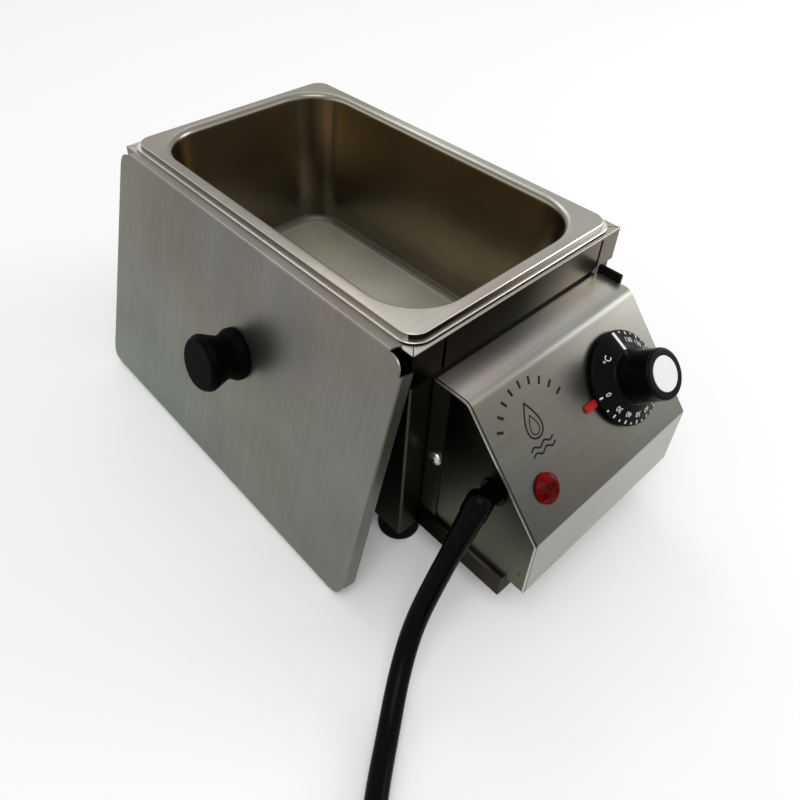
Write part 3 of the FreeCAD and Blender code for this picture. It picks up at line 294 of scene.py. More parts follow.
# Casing
# Folded 1 mm stainless sheet, fine brushed: a cap with mitred corners over a wrapped wall, and a bottom
# plate with vent slots. The sheets are spot welded and the cap is pushed over the wall.
def sheet_grain():
    """What a brushed sheet does to its steel: fine streaks, soft clouds and a faint drift of hue."""
    group = bpy.data.node_groups.new("sheet grain", "ShaderNodeTree")
    sockets = group.interface
    for label, kind in (("Along Grain", "NodeSocketVector"), ("Place", "NodeSocketVector"),
                        ("Steel", "NodeSocketColor"), ("Mottle", "NodeSocketFloat"),
                        ("Smooth", "NodeSocketFloat"), ("Rough", "NodeSocketFloat"),
                        ("Relief", "NodeSocketFloat")):
        sockets.new_socket(label, in_out="INPUT", socket_type=kind)
    for label, kind in (("Color", "NodeSocketColor"), ("Roughness", "NodeSocketFloat"),
                        ("Normal", "NodeSocketVector")):
        sockets.new_socket(label, in_out="OUTPUT", socket_type=kind)
    enter = group.nodes.new("NodeGroupInput")
    leave = group.nodes.new("NodeGroupOutput")
    join = group.links.new

    def noise(source, scale, detail):
        node = group.nodes.new("ShaderNodeTexNoise")
        node.inputs["Scale"].default_value = scale
        node.inputs["Detail"].default_value = detail
        join(enter.outputs[source], node.inputs["Vector"])
        return node.outputs["Fac"]

    streaks = noise("Along Grain", scale=1, detail=2)
    clouds = noise("Place", scale=16, detail=4)
    drift = noise("Place", scale=7, detail=2)
    blend = group.nodes.new("ShaderNodeMix")
    blend.inputs["Factor"].default_value = 0.7
    join(streaks, blend.inputs["A"])
    join(clouds, blend.inputs["B"])
    level = group.nodes.new("ShaderNodeMapRange")
    level.inputs["From Min"].default_value = 0.3
    level.inputs["From Max"].default_value = 0.7
    join(blend.outputs["Result"], level.inputs["Value"])
    for limit, operation in (("To Min", "SUBTRACT"), ("To Max", "ADD")):
        off_one = group.nodes.new("ShaderNodeMath")
        off_one.operation = operation
        off_one.inputs[0].default_value = 1
        join(enter.outputs["Mottle"], off_one.inputs[1])
        join(off_one.outputs[0], level.inputs[limit])
    toned = group.nodes.new("ShaderNodeVectorMath")
    toned.operation = "SCALE"
    join(enter.outputs["Steel"], toned.inputs[0])
    join(level.outputs["Result"], toned.inputs["Scale"])
    hue = group.nodes.new("ShaderNodeMix")
    hue.data_type = "RGBA"
    hue.inputs["A"].default_value = (1.05, 1.0, 0.95, 1)
    hue.inputs["B"].default_value = (0.96, 1.01, 1.0, 1)
    spread = group.nodes.new("ShaderNodeMapRange")
    spread.inputs["From Min"].default_value = 0.35
    spread.inputs["From Max"].default_value = 0.65
    join(drift, spread.inputs["Value"])
    join(spread.outputs["Result"], hue.inputs["Factor"])
    tinted = group.nodes.new("ShaderNodeVectorMath")
    tinted.operation = "MULTIPLY"
    join(toned.outputs[0], tinted.inputs[0])
    join(hue.outputs["Result"], tinted.inputs[1])
    join(tinted.outputs[0], leave.inputs["Color"])
    gloss = group.nodes.new("ShaderNodeMapRange")
    join(clouds, gloss.inputs["Value"])
    join(enter.outputs["Smooth"], gloss.inputs["To Min"])
    join(enter.outputs["Rough"], gloss.inputs["To Max"])
    join(gloss.outputs["Result"], leave.inputs["Roughness"])
    relief = group.nodes.new("ShaderNodeBump")
    relief.inputs["Distance"].default_value = 0.04 * MM
    join(enter.outputs["Relief"], relief.inputs["Strength"])
    join(streaks, relief.inputs["Height"])
    join(relief.outputs["Normal"], leave.inputs["Normal"])
    return group


grain_group = sheet_grain()


def drifting_tone(tree, sweep, near, far, run):
    """A tone that goes from near to far along a sweep: a start point, a direction and a distance."""
    start, direction, distance = sweep
    along = tree.nodes.new("ShaderNodeVectorMath")
    along.operation = "DOT_PRODUCT"
    along.inputs[1].default_value = direction
    tree.links.new(tree.nodes["Texture Coordinate"].outputs["Object"], along.inputs[0])
    drift = tree.nodes.new("ShaderNodeMapRange")
    drift.interpolation_type = run
    begin = Vector(start).dot(Vector(direction))
    drift.inputs["From Min"].default_value = begin
    drift.inputs["From Max"].default_value = begin + distance
    tree.links.new(along.outputs["Value"], drift.inputs["Value"])
    tone = tree.nodes.new("ShaderNodeMix")
    tone.data_type = "RGBA"
    tone.inputs["A"].default_value = (*near, 1)
    tone.inputs["B"].default_value = (*far, 1)
    tree.links.new(drift.outputs["Result"], tone.inputs["Factor"])
    return tone.outputs["Result"]


def sheet_steel(name, near, far, sweep, grain, mottle=0.12, smooth=0.24, rough=0.36, glance=1.0):
    """Brushed stainless sheet whose tone drifts along a sweep, a painted reflection and shade. Grain gives
    how fast the streaks change along X, Y and Z, and glance how bright the steel gets at a glancing view.
    """
    material = bpy.data.materials.new(name)
    material.use_nodes = True
    tree = material.node_tree
    shader = tree.nodes["Principled BSDF"]
    shader.inputs["Metallic"].default_value = 1.0
    shader.inputs["Specular Tint"].default_value = (glance, glance, glance, 1)
    place = tree.nodes.new("ShaderNodeTexCoord")
    stretch = tree.nodes.new("ShaderNodeMapping")
    stretch.inputs["Scale"].default_value = grain
    tree.links.new(place.outputs["Object"], stretch.inputs["Vector"])
    brushed = tree.nodes.new("ShaderNodeGroup")
    brushed.node_tree = grain_group
    for label, value in (("Mottle", mottle), ("Smooth", smooth), ("Rough", rough), ("Relief", 0.05)):
        brushed.inputs[label].default_value = value
    tree.links.new(stretch.outputs["Vector"], brushed.inputs["Along Grain"])
    tree.links.new(place.outputs["Object"], brushed.inputs["Place"])
    tree.links.new(drifting_tone(tree, sweep, near, far, "SMOOTHSTEP"), brushed.inputs["Steel"])
    tree.links.new(brushed.outputs["Color"], shader.inputs["Base Color"])
    tree.links.new(brushed.outputs["Roughness"], shader.inputs["Roughness"])
    tree.links.new(brushed.outputs["Normal"], shader.inputs["Normal"])
    return material


def facing_share(tree, axis, limits, levels=(0, 1)):
    """How much a face looks along an axis, either way, with the limits brought to the levels."""
    facing = tree.nodes.new("ShaderNodeSeparateXYZ")
    tree.links.new(tree.nodes["Texture Coordinate"].outputs["Normal"], facing.inputs["Vector"])
    turned = tree.nodes.new("ShaderNodeMath")
    turned.operation = "ABSOLUTE"
    tree.links.new(facing.outputs[axis], turned.inputs[0])
    share = tree.nodes.new("ShaderNodeMapRange")
    share.inputs["From Min"].default_value, share.inputs["From Max"].default_value = limits
    share.inputs["To Min"].default_value, share.inputs["To Max"].default_value = levels
    tree.links.new(turned.outputs[0], share.inputs["Value"])
    return share.outputs["Result"]


def lay_over(material, share, tone):
    """Lay a tone over a sheet steel's own one, as far as the share says."""
    tree = material.node_tree
    brushed = tree.nodes["Group"]
    over = tree.nodes.new("ShaderNodeMix")
    over.data_type = "RGBA"
    over.inputs["B"].default_value = (*tone, 1)
    tree.links.new(share, over.inputs["Factor"])
    tree.links.new(brushed.inputs["Steel"].links[0].from_socket, over.inputs["A"])
    tree.links.new(over.outputs["Result"], brushed.inputs["Steel"])
    return over


def paint_facing_light(material, axis, limits, tone, sweep=None, far_tone=None):
    """Paint the faces that look along an axis lighter or darker, as light falls on them, with a tone of their
    own or one that drifts along a sweep.
    """
    tree = material.node_tree
    over = lay_over(material, facing_share(tree, axis, limits), tone)
    if sweep:
        tree.links.new(drifting_tone(tree, sweep, tone, far_tone, "LINEAR"), over.inputs["B"])


level_grain = (12, 12, 500)
from_corner = (0.5, 0.87, 0)
# The cap's tone is painted dark at its front left corner and lighter along the sweep, as shade and
# reflection, and its top faces are painted lighter.
cap_steel = sheet_steel("cap steel", near=(0.011, 0.0098, 0.0075), far=(0.25, 0.225, 0.19),
                        sweep=((-0.012, -0.135, 0), from_corner, 0.050), grain=level_grain, glance=0.55)
paint_facing_light(cap_steel, "Z", limits=(0.7, 0.9), tone=(0.36, 0.345, 0.31))
dress(cap_steel, "top_cap")
# The casing's tone is likewise painted darker towards the front left corner, as shade and dark reflection.
casing_steel = sheet_steel("casing steel", near=(0.07, 0.07, 0.058), far=(0.18, 0.172, 0.152),
                           sweep=((-0.070, -0.135, 0), from_corner, 0.14), grain=level_grain, glance=0.5)
dress(casing_steel, "casing_shell", "base_plate", "inner_tank", "heater_straps")
dress(plain_material("element sheath", (0.12, 0.11, 0.10), 0.45, metallic=1.0), "heating_element")
dress(plain_material("ceramic wool", (0.75, 0.73, 0.68), 0.95, bump=1.0, scale=400), "insulation_blanket")
dress(plain_material("drawn copper", (0.72, 0.42, 0.28), 0.3, metallic=1.0), "thermostat_capillary")


# Mitre seams
# The cap's sheet is cut at 45 degrees at each corner and folded until the cuts meet; the closed joint
# shows as a fine dark line.
cap_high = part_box("top_cap")[1]
seam_length, seam_width = 6.5 * MM, 0.55 * MM
seam_proud, seam_setback = 0.02 * MM, 0.5 * MM
seam_mesh = bmesh.new()
for side_x, side_y in ((-1, -1), (1, -1), (-1, 1), (1, 1)):
    line = bmesh.ops.create_grid(seam_mesh, x_segments=1, y_segments=1, size=0.5)["verts"]
    bmesh.ops.scale(seam_mesh, vec=(seam_length, seam_width, 1), verts=line)
    bmesh.ops.rotate(seam_mesh, cent=(0, 0, 0), verts=line,
                     matrix=Matrix.Rotation(math.radians(45) * side_x * side_y, 3, "Z"))
    corner = Vector((side_x * cap_high.x, side_y * cap_high.y, cap_high.z + seam_proud))
    inward = Vector((-side_x, -side_y, 0)).normalized() * (seam_length / 2 + seam_setback)
    bmesh.ops.translate(seam_mesh, vec=corner + inward, verts=line)
mitre_seams = linked_piece("mitre_seams", seam_mesh)
mitre_seams.data.materials.append(plain_material("seam shadow", (0.012, 0.011, 0.009), 0.6, metallic=0.5))
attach(mitre_seams, "root")


# Feet
# Tapered feet moulded in black rubber, each held by a zinc-plated screw and nut through the bottom
# plate. The other screws, the thermostat's shaft and the lamp's nut have the same plating.
foot_rubber = plain_material("foot rubber", (0.002, 0.002, 0.002), 0.55, bump=0.4, scale=300, specular=0.05)
dress(foot_rubber, "rubber_foot_front_left", "rubber_foot_front_right", "rubber_foot_rear_left",
      "rubber_foot_rear_right")
zinc = plain_material("zinc plate", (0.55, 0.55, 0.54), 0.3, metallic=1.0, mottle=0.2, scale=200)
dress(zinc, "foot_screws", "frame_screws", "neck_screws", "thermostat_screws", "thermostat_shaft",
      "lid_knob_screw", "pilot_lamp_nut")


# Pan
# One deep-drawn gastronorm pan of 0.8 mm sheet. The rim steps up from its turned-down lip to a flat band
# and rolls over into drawn walls, painted dark as their shade and reflection; the floor keeps the pale matt
# skin of the sheet. The rim's bright edges and its dark step and lip are painted highlight and shade.
pan_low, pan_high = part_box("food_pan")
pan_sheet = 0.8 * MM
pan_floor = pan_low.z + pan_sheet
lip_foot, lip_top = pan_high.z - 1.6 * MM, pan_high.z - 0.6 * MM
band_top = lip_top + 3.1 * MM
mouth_inset, mouth_corner, mouth_roll, floor_roll = 11.5 * MM, 32 * MM, 4 * MM, 6 * MM
wall_lean = math.radians(5)
wall_turn = math.pi / 2 - wall_lean
mouth_steps, floor_steps, corner_segments = 5, 7, 14
floor_margin = 2 * MM
crease_angle = math.radians(32)
# Each line across the rim: inset from the pan's edge, corner radius and height. In turn they are the
# lip's foot, its rounded edge (two lines), the ledge's inner side, the top of the step and the flat band.
pan_rings = [(0, 12 * MM, lip_foot), (0, 12 * MM, lip_top - 0.3 * MM), (0.3 * MM, 11.7 * MM, lip_top),
             (2.5 * MM, 10 * MM, lip_top), (2.7 * MM, 9.8 * MM, band_top - 0.45 * MM),
             (3.1 * MM, 9.4 * MM, band_top)]


def wall_ring(inset, height):
    """A line round the mouth, walls or floor, where the corners narrow as the walls lean in."""
    return inset, mouth_corner + mouth_inset - inset, height


for step in range(mouth_steps + 1):
    roll = wall_turn * step / mouth_steps
    pan_rings.append(wall_ring(mouth_inset - mouth_roll * (1 - math.sin(roll)),
                               band_top - mouth_roll * (1 - math.cos(roll))))
foot_inset = mouth_inset + math.tan(wall_lean) * (pan_high.z - pan_floor)
roll_height = pan_floor + floor_roll
roll_inset = foot_inset - math.tan(wall_lean) * floor_roll + floor_roll / math.cos(wall_lean)
for step in range(floor_steps + 1):
    roll = wall_lean + wall_turn * step / floor_steps
    pan_rings.append(wall_ring(roll_inset - floor_roll * math.cos(roll),
                               roll_height - floor_roll * math.sin(roll)))
pan_rings.append(wall_ring(roll_inset + floor_margin, pan_floor))


def quarter_angle(spot, inset, corner):
    """Where a point of a rounded rectangle lies on its corner, from 0 at the long side to a right angle."""
    across = abs(spot.x) - (pan_high.x - inset - corner)
    along = abs(spot.y) - (pan_high.y - inset - corner)
    return math.atan2(max(along, 0), max(across, 0))


pan_mesh = bmesh.new()
blank = bmesh.ops.create_grid(pan_mesh, x_segments=1, y_segments=1, size=1)["verts"]
inset, corner, ring_height = pan_rings[0]
bmesh.ops.scale(pan_mesh, vec=(pan_high.x - inset, pan_high.y - inset, 1), verts=blank)
bmesh.ops.translate(pan_mesh, vec=(0, 0, ring_height), verts=blank)
bmesh.ops.bevel(pan_mesh, geom=blank, affect="VERTICES", offset=corner, offset_type="OFFSET",
                segments=corner_segments, profile=0.5, material=-1)
bmesh.ops.delete(pan_mesh, geom=pan_mesh.faces[:], context="FACES_ONLY")
edge_loop = pan_mesh.edges[:]
bands = []
for (inset, corner, _), (next_inset, next_corner, ring_height) in zip(pan_rings, pan_rings[1:]):
    drawn = bmesh.ops.extrude_edge_only(pan_mesh, edges=edge_loop)["geom"]
    edge_loop = [part for part in drawn if isinstance(part, bmesh.types.BMEdge)]
    bands.append([part for part in drawn if isinstance(part, bmesh.types.BMFace)])
    for vertex in [part for part in drawn if isinstance(part, bmesh.types.BMVert)]:
        turn = quarter_angle(vertex.co, inset, corner)
        reach_x = pan_high.x - next_inset - next_corner * (1 - math.cos(turn))
        reach_y = pan_high.y - next_inset - next_corner * (1 - math.sin(turn))
        vertex.co = (math.copysign(reach_x, vertex.co.x), math.copysign(reach_y, vertex.co.y), ring_height)
floor_face = bmesh.ops.contextual_create(pan_mesh, geom=edge_loop)["faces"][0]
bmesh.ops.recalc_face_normals(pan_mesh, faces=pan_mesh.faces)
if floor_face.normal.z < 0:
    bmesh.ops.reverse_faces(pan_mesh, faces=pan_mesh.faces)

# The rim's material slots, from 1 on, carry its painted light: a painted highlight on the bright edges,
# painted shade on the step's front and the lip, and a painted reflection drifting across the band; slot 0 is
# the drawn walls and the floor.
bright, step_front, rim, lip = range(1, 5)
lip_band, edge_band, ledge_band, step_band, chamfer_band, flat_band, *roll_bands = bands
for faces, finish in ((lip_band, lip), (edge_band + ledge_band + chamfer_band, bright),
                      (flat_band + roll_bands[0] + roll_bands[1], rim)):
    for face in faces:
        face.material_index = finish
# The step's front faces take the painted shade, the rest of the step the rim's tone.
for face in step_band:
    faces_front = face.normal.y < -0.5
    face.material_index = step_front if faces_front else rim
for face in pan_mesh.faces:
    face.smooth = True
drawn_pan = linked_piece("drawn_pan", pan_mesh)
drawn_pan.data.set_sharp_from_angle(angle=crease_angle)
pan_wall = drawn_pan.modifiers.new("sheet thickness", "SOLIDIFY")
pan_wall.thickness = pan_sheet
pan_wall.offset = -1
pan_wall.use_even_offset = True

pan_steel = bpy.data.materials.new("drawn pan steel")
pan_steel.use_nodes = True
tree = pan_steel.node_tree
shader = tree.nodes["Principled BSDF"]
shader.inputs["Metallic"].default_value = 1.0
place = tree.nodes.new("ShaderNodeTexCoord")
height = tree.nodes.new("ShaderNodeSeparateXYZ")
tree.links.new(place.outputs["Object"], height.inputs["Vector"])
zone = tree.nodes.new("ShaderNodeMapRange")
zone.inputs["From Min"].default_value = pan_floor
zone.inputs["From Max"].default_value = band_top
tree.links.new(height.outputs["Z"], zone.inputs["Value"])
# From the floor up: its pale skin, then a dark corner over it and the walls in bands of painted shade and
# reflection, up to the turn into the band.
depth_tone = tree.nodes.new("ShaderNodeValToRGB")
ramp = depth_tone.color_ramp
ramp.elements[0].position = 0.0002
ramp.elements[0].color = (0.68, 0.675, 0.585, 1)
ramp.elements[1].position = 1.0
ramp.elements[1].color = (0.34, 0.333, 0.295, 1)
for position, color in ((0.002, (0.20, 0.186, 0.15, 1)), (0.05, (0.055, 0.049, 0.035, 1)),
                        (0.16, (0.065, 0.058, 0.041, 1)), (0.32, (0.13, 0.114, 0.078, 1)),
                        (0.5, (0.19, 0.164, 0.112, 1)), (0.8, (0.132, 0.105, 0.064, 1)),
                        (0.955, (0.085, 0.066, 0.037, 1)), (0.99, (0.30, 0.29, 0.255, 1))):
    ramp.elements.new(position).color = color
tree.links.new(zone.outputs["Result"], depth_tone.inputs["Fac"])
# The floor is matt and the walls are satin.
depth_gloss = tree.nodes.new("ShaderNodeValToRGB")
ramp = depth_gloss.color_ramp
ramp.elements[0].position = 0.03
ramp.elements[0].color = (0.58, 0.58, 0.58, 1)
ramp.elements[1].position = 0.2
ramp.elements[1].color = (0.26, 0.26, 0.26, 1)
tree.links.new(zone.outputs["Result"], depth_gloss.inputs["Fac"])
tree.links.new(depth_gloss.outputs["Color"], shader.inputs["Roughness"])
washed = tree.nodes.new("ShaderNodeTexNoise")
washed.inputs["Scale"].default_value = 11
washed.inputs["Detail"].default_value = 2
tree.links.new(place.outputs["Object"], washed.inputs["Vector"])
wash_level = tree.nodes.new("ShaderNodeMapRange")
wash_level.inputs["From Min"].default_value = 0.3
wash_level.inputs["From Max"].default_value = 0.7
wash_level.inputs["To Min"].default_value = 0.5
wash_level.inputs["To Max"].default_value = 0.74
tree.links.new(washed.outputs["Fac"], wash_level.inputs["Value"])
# The flat walls are painted brighter than the corners, and the long ones brighter than the ends, as painted
# reflection.
wall_level = wash_level.outputs["Result"]
for axis, brighter in (("X", 3.8), ("Y", 2.3)):
    combined = tree.nodes.new("ShaderNodeMath")
    combined.operation = "MULTIPLY"
    tree.links.new(wall_level, combined.inputs[0])
    tree.links.new(facing_share(tree, axis, (0.78, 0.97), (1, brighter)), combined.inputs[1])
    wall_level = combined.outputs[0]
pan_tone = tree.nodes.new("ShaderNodeVectorMath")
pan_tone.operation = "SCALE"
tree.links.new(depth_tone.outputs["Color"], pan_tone.inputs[0])
tree.links.new(wall_level, pan_tone.inputs["Scale"])
tree.links.new(pan_tone.outputs[0], shader.inputs["Base Color"])

# The rim's edges and ledge are painted bright, a painted highlight that grows towards the right.
painted_highlight_edge = sheet_steel("rim painted highlight", near=(0.46, 0.46, 0.425), far=(0.64, 0.63, 0.59),
                          sweep=((pan_low.x, 0, 0), (1, 0, 0), pan_high.x - pan_low.x), grain=(400, 400, 12))
# The step's front is painted dark at its left end and light at its right, as shade and reflection.
step_steel = sheet_steel("rim step painted shade", near=(0.010, 0.009, 0.007), far=(0.36, 0.335, 0.305),
                         sweep=((-0.062, 0, 0), (1, 0, 0), 0.15), grain=(12, 12, 500), glance=0.5)
# The rim band's tone is painted lighter towards the front right, as reflection.
rim_steel = sheet_steel("rim steel", near=(0.185, 0.178, 0.155), far=(0.32, 0.314, 0.285),
                        sweep=((0, 0.03, 0), (0.6, -0.8, 0), 0.055), grain=(12, 400, 400))
# The lip's outer face is painted near black, as the shade under the turned edge.
lip_shadow = plain_material("lip painted shade", (0.02, 0.018, 0.015), 0.5, metallic=1.0)
for material in (pan_steel, painted_highlight_edge, step_steel, rim_steel, lip_shadow):
    drawn_pan.data.materials.append(material)
dress(pan_steel, "food_pan")
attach(drawn_pan, "pan")
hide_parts("food_pan")


# Lid
# A folded tray of the same sheet leaning on the casing's left side, with a turned black knob that a
# screw holds from behind.
# The lid's tone is painted lighter low on its face and darker high up, as reflection.
lid_steel = sheet_steel("lid steel", near=(0.205, 0.222, 0.195), far=(0.187, 0.180, 0.162),
                        sweep=((0, 0, 0.02), (0, 0, 1), 0.12), grain=(12, 500, 12), mottle=0.19, smooth=0.30,
                        rough=0.42)
dress(lid_steel, "lid_tray")
knob_black = plain_material("black phenolic", (0.0008, 0.0008, 0.0008), 0.42, scale=60, specular=0.02)
dress(knob_black, "lid_knob")


# Control box
# Folded cover over two flanged side plates, carried by a channel bolted to the casing's front wall and
# by an open channel underneath.
cover_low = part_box("control_cover")[0]
# The cover's tone is painted darker towards the lower left front and lighter towards the upper right, as
# shade and reflection. Its top faces get a painted highlight that fades towards the front, and its front and
# end faces are painted lighter.
cover_steel = sheet_steel("cover steel", near=(0.090, 0.092, 0.081), far=(0.215, 0.200, 0.178),
                          sweep=((cover_low.x, cover_low.y, 0.0757), (0.55, 0.55, 0.62), 0.135),
                          grain=(12, 500, 500), mottle=0.16)
paint_facing_light(cover_steel, "Z", limits=(0.75, 0.88), tone=(0.72, 0.69, 0.65),
                sweep=((0, -0.139, 0), (0, -1, 0), 0.017), far_tone=(0.27, 0.26, 0.24))
paint_facing_light(cover_steel, "Y", limits=(0.88, 0.96), tone=(0.36, 0.362, 0.335))
paint_facing_light(cover_steel, "X", limits=(0.9, 0.99), tone=(0.62, 0.62, 0.58))

# A dark line is painted just inside the sheet's left edge, as the shade and dark reflection in the fold
# beside it.
edge_shade_inset, edge_shade_half = 1.1 * MM, 0.45 * MM
tree = cover_steel.node_tree
spot = tree.nodes.new("ShaderNodeSeparateXYZ")
tree.links.new(tree.nodes["Texture Coordinate"].outputs["Object"], spot.inputs["Vector"])
beside = tree.nodes.new("ShaderNodeMath")
beside.operation = "COMPARE"
beside.inputs[1].default_value = cover_low.x + edge_shade_inset
beside.inputs[2].default_value = edge_shade_half
tree.links.new(spot.outputs["X"], beside.inputs[0])
lay_over(cover_steel, beside.outputs[0], (0.02, 0.02, 0.017))
dress(cover_steel, "control_cover")
# The side plates and the box's floor are painted darker towards the top, as the shade and dark reflection
# under the lid and the neck.
cheek_steel = sheet_steel("cheek steel", near=(0.145, 0.15, 0.12), far=(0.011, 0.0115, 0.008),
                          sweep=((0, 0, 0.04), (0, 0, 1), 0.07), grain=(12, 500, 12), glance=0.6)
dress(cheek_steel, "control_cheek_left", "control_cheek_right", "control_floor")
# The frame is painted a little darker towards the top, as shade.
frame_steel = sheet_steel("frame steel", near=(0.12, 0.115, 0.10), far=(0.09, 0.087, 0.075),
                          sweep=((0, 0, 0.03), (0, 0, 1), 0.09), grain=level_grain, glance=0.5)
dress(frame_steel, "mounting_frame")
# The channel is painted near black towards the casing and lighter towards the front, as shade under the box.
channel_steel = sheet_steel("channel steel", near=(0.006, 0.006, 0.005), far=(0.06, 0.056, 0.046),
                            sweep=((0, -0.14, 0), (0, -1, 0), 0.055), grain=(500, 12, 500), glance=0.5)
dress(channel_steel, "support_channel")
dress(foot_rubber, "edge_trim")
dress(plain_material("switch moulding", (0.05, 0.05, 0.05), 0.5), "thermostat_body", "pilot_lamp_body")
dress(plain_material("cream moulding", (0.78, 0.74, 0.62), 0.5), "terminal_block")


# Cross recess of the side screws
# The recess is pressed into the zinc-plated head of the screw on either side of the box, and looks dark
# because it is deep and narrow.
recess_dark = plain_material("recess shadow", (0.01, 0.01, 0.01), 0.6, specular=0.1)
screw_low, screw_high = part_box("neck_screws")
recess_sunk = 0.02 * MM
slot_depth, slot_width, slot_length = 0.1 * MM, 0.8 * MM, 3.6 * MM
slot_turns = (math.radians(38), math.radians(128))
for name, head_face in (("screw_recess_left", screw_low.x + recess_sunk),
                        ("screw_recess_right", screw_high.x - recess_sunk)):
    head_middle = Vector((head_face, (screw_low.y + screw_high.y) / 2, (screw_low.z + screw_high.z) / 2))
    recess = bmesh.new()
    for turn in slot_turns:
        slot = bmesh.ops.create_cube(recess, size=1)["verts"]
        bmesh.ops.scale(recess, vec=(slot_depth, slot_width, slot_length), verts=slot)
        bmesh.ops.rotate(recess, cent=(0, 0, 0), matrix=Matrix.Rotation(turn, 3, "X"), verts=slot)
    bmesh.ops.translate(recess, vec=head_middle, verts=recess.verts)
    recess_piece = linked_piece(name, recess)
    recess_piece.data.materials.append(recess_dark)
    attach(recess_piece, "root")


# Spot welds
# Small round dents left by the welding tips on the left side plate, beside its flanges, which are welded
# to the cover. The heat leaves them dark.
weld_radius, weld_proud, weld_segments = 0.7 * MM, 0.03 * MM, 16
weld_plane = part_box("control_cheek_left")[0].x - weld_proud
weld_mesh = bmesh.new()
for weld_y, weld_z in ((-0.1750, 0.0925), (-0.2030, 0.0435)):
    dent = bmesh.ops.create_circle(weld_mesh, cap_ends=True, radius=weld_radius,
                                   segments=weld_segments)["verts"]
    bmesh.ops.rotate(weld_mesh, cent=(0, 0, 0), matrix=Matrix.Rotation(-math.pi / 2, 3, "Y"), verts=dent)
    bmesh.ops.translate(weld_mesh, vec=(weld_plane, weld_y, weld_z), verts=dent)
bmesh.ops.recalc_face_normals(weld_mesh, faces=weld_mesh.faces)
spot_welds = linked_piece("spot_welds", weld_mesh)
spot_welds.data.materials.append(plain_material("weld scale", (0.02, 0.018, 0.015), 0.6, metallic=1.0))
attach(spot_welds, "root")


# Thermostat dial
# Black bakelite dial with a tall grip; its scale is printed in white on the sloping skirt, and a white
# disc closes the grip's end.
dial_black = plain_material("dial bakelite", (0.001, 0.001, 0.001), 0.24, scale=60, specular=0.06)
dress(dial_black, "dial_knob")
disc_white = plain_material("white disc", (0.82, 0.82, 0.81), 0.25, mottle=0.02)
dress(disc_white, "dial_disc")
dress(plain_material("red pointer", (0.43, 0.010, 0.007), 0.3, specular=0.2), "dial_pointer")

joint = next(j for j in frame["joints"] if j["name"] == "thermostat_turn")
dial_out = -Vector(joint["axis"]).normalized()
dial_right = Vector((1, 0, 0))
dial_up = dial_out.cross(dial_right)
dial_centre = Vector(joint["pos_m"])
dial_surface = BVHTree.FromObject(nodes["dial_knob"], bpy.context.evaluated_depsgraph_get())
clear_of_dial = 60 * MM
print_height = 0.12 * MM


def on_skirt(x, y, lift):
    """The point over the dial's skirt at x to the right and y up from its axis."""
    start = dial_centre + dial_right * x + dial_up * y + dial_out * clear_of_dial
    spot = dial_surface.ray_cast(start, -dial_out)[0]
    return spot + dial_out * lift


scale_mesh = bmesh.new()


def add_tick(angle, inner, outer, width):
    """A printed bar along the radius; angles run down from nine o'clock."""
    direction = Vector((-math.cos(angle), -math.sin(angle)))
    side = Vector((direction.y, -direction.x)) * width / 2
    block = bmesh.ops.create_cube(scale_mesh, size=1)
    for vertex in block["verts"]:
        flat = direction * (inner if vertex.co.x < 0 else outer) + side * (1 if vertex.co.y > 0 else -1)
        vertex.co = on_skirt(flat.x, flat.y, print_height if vertex.co.z > 0 else -print_height)


def add_figures(text, angle, radius, size):
    """Printed figures whose feet point to the dial's axis."""
    curve = bpy.data.curves.new("figures", "FONT")
    curve.body = text
    curve.size = size
    curve.align_x = "CENTER"
    curve.align_y = "CENTER"
    curve.extrude = print_height
    curve.resolution_u = 3
    holder = bpy.data.objects.new("figures", curve)
    bpy.context.collection.objects.link(holder)
    bpy.context.view_layer.update()
    flat_mesh = bpy.data.meshes.new_from_object(holder)
    bpy.data.objects.remove(holder)
    direction = Vector((-math.cos(angle), -math.sin(angle)))
    reading = Vector((direction.y, -direction.x))
    for vertex in flat_mesh.vertices:
        flat = direction * (radius + vertex.co.y) + reading * vertex.co.x
        vertex.co = on_skirt(flat.x, flat.y, vertex.co.z)
    scale_mesh.from_mesh(flat_mesh)
    bpy.data.meshes.remove(flat_mesh)


tick_outer, major_inner, minor_inner = 25.0 * MM, 23.2 * MM, 24.0 * MM
zero_width, tick_width = 0.9 * MM, 0.8 * MM
figure_radius, figure_size = 20.0 * MM, 3.9 * MM
half_way, first_major, major_step = math.radians(18.7), math.radians(30.7), math.radians(20.9)
majors, first_figure, figure_step = 11, 30, 10
add_tick(0, major_inner, tick_outer, zero_width)
add_figures("0", 0, figure_radius, figure_size)
add_tick(half_way, minor_inner, tick_outer, zero_width)
for k in range(majors):
    add_tick(first_major + k * major_step, major_inner, tick_outer, tick_width)
    add_tick(first_major + (k + 0.5) * major_step, minor_inner, tick_outer, tick_width)
    add_figures(str(first_figure + figure_step * k), first_major + k * major_step, figure_radius, figure_size)
# The broad index bar, and the degrees sign beyond it.
bar_angle, bar_inner, bar_width = math.radians(261), 15.2 * MM, 2.0 * MM
sign_angle, sign_radius, sign_size = math.radians(306), 19.0 * MM, 4.6 * MM
add_tick(bar_angle, bar_inner, tick_outer, bar_width)
add_figures("°C", sign_angle, sign_radius, sign_size)
bmesh.ops.recalc_face_normals(scale_mesh, faces=scale_mesh.faces)
dial_scale = linked_piece("dial_scale", scale_mesh)
scale_ink = plain_material("scale ink", (0.75, 0.75, 0.74), 0.45, mottle=0.08, scale=300)
dial_scale.data.materials.append(scale_ink)
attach(dial_scale, "dial")


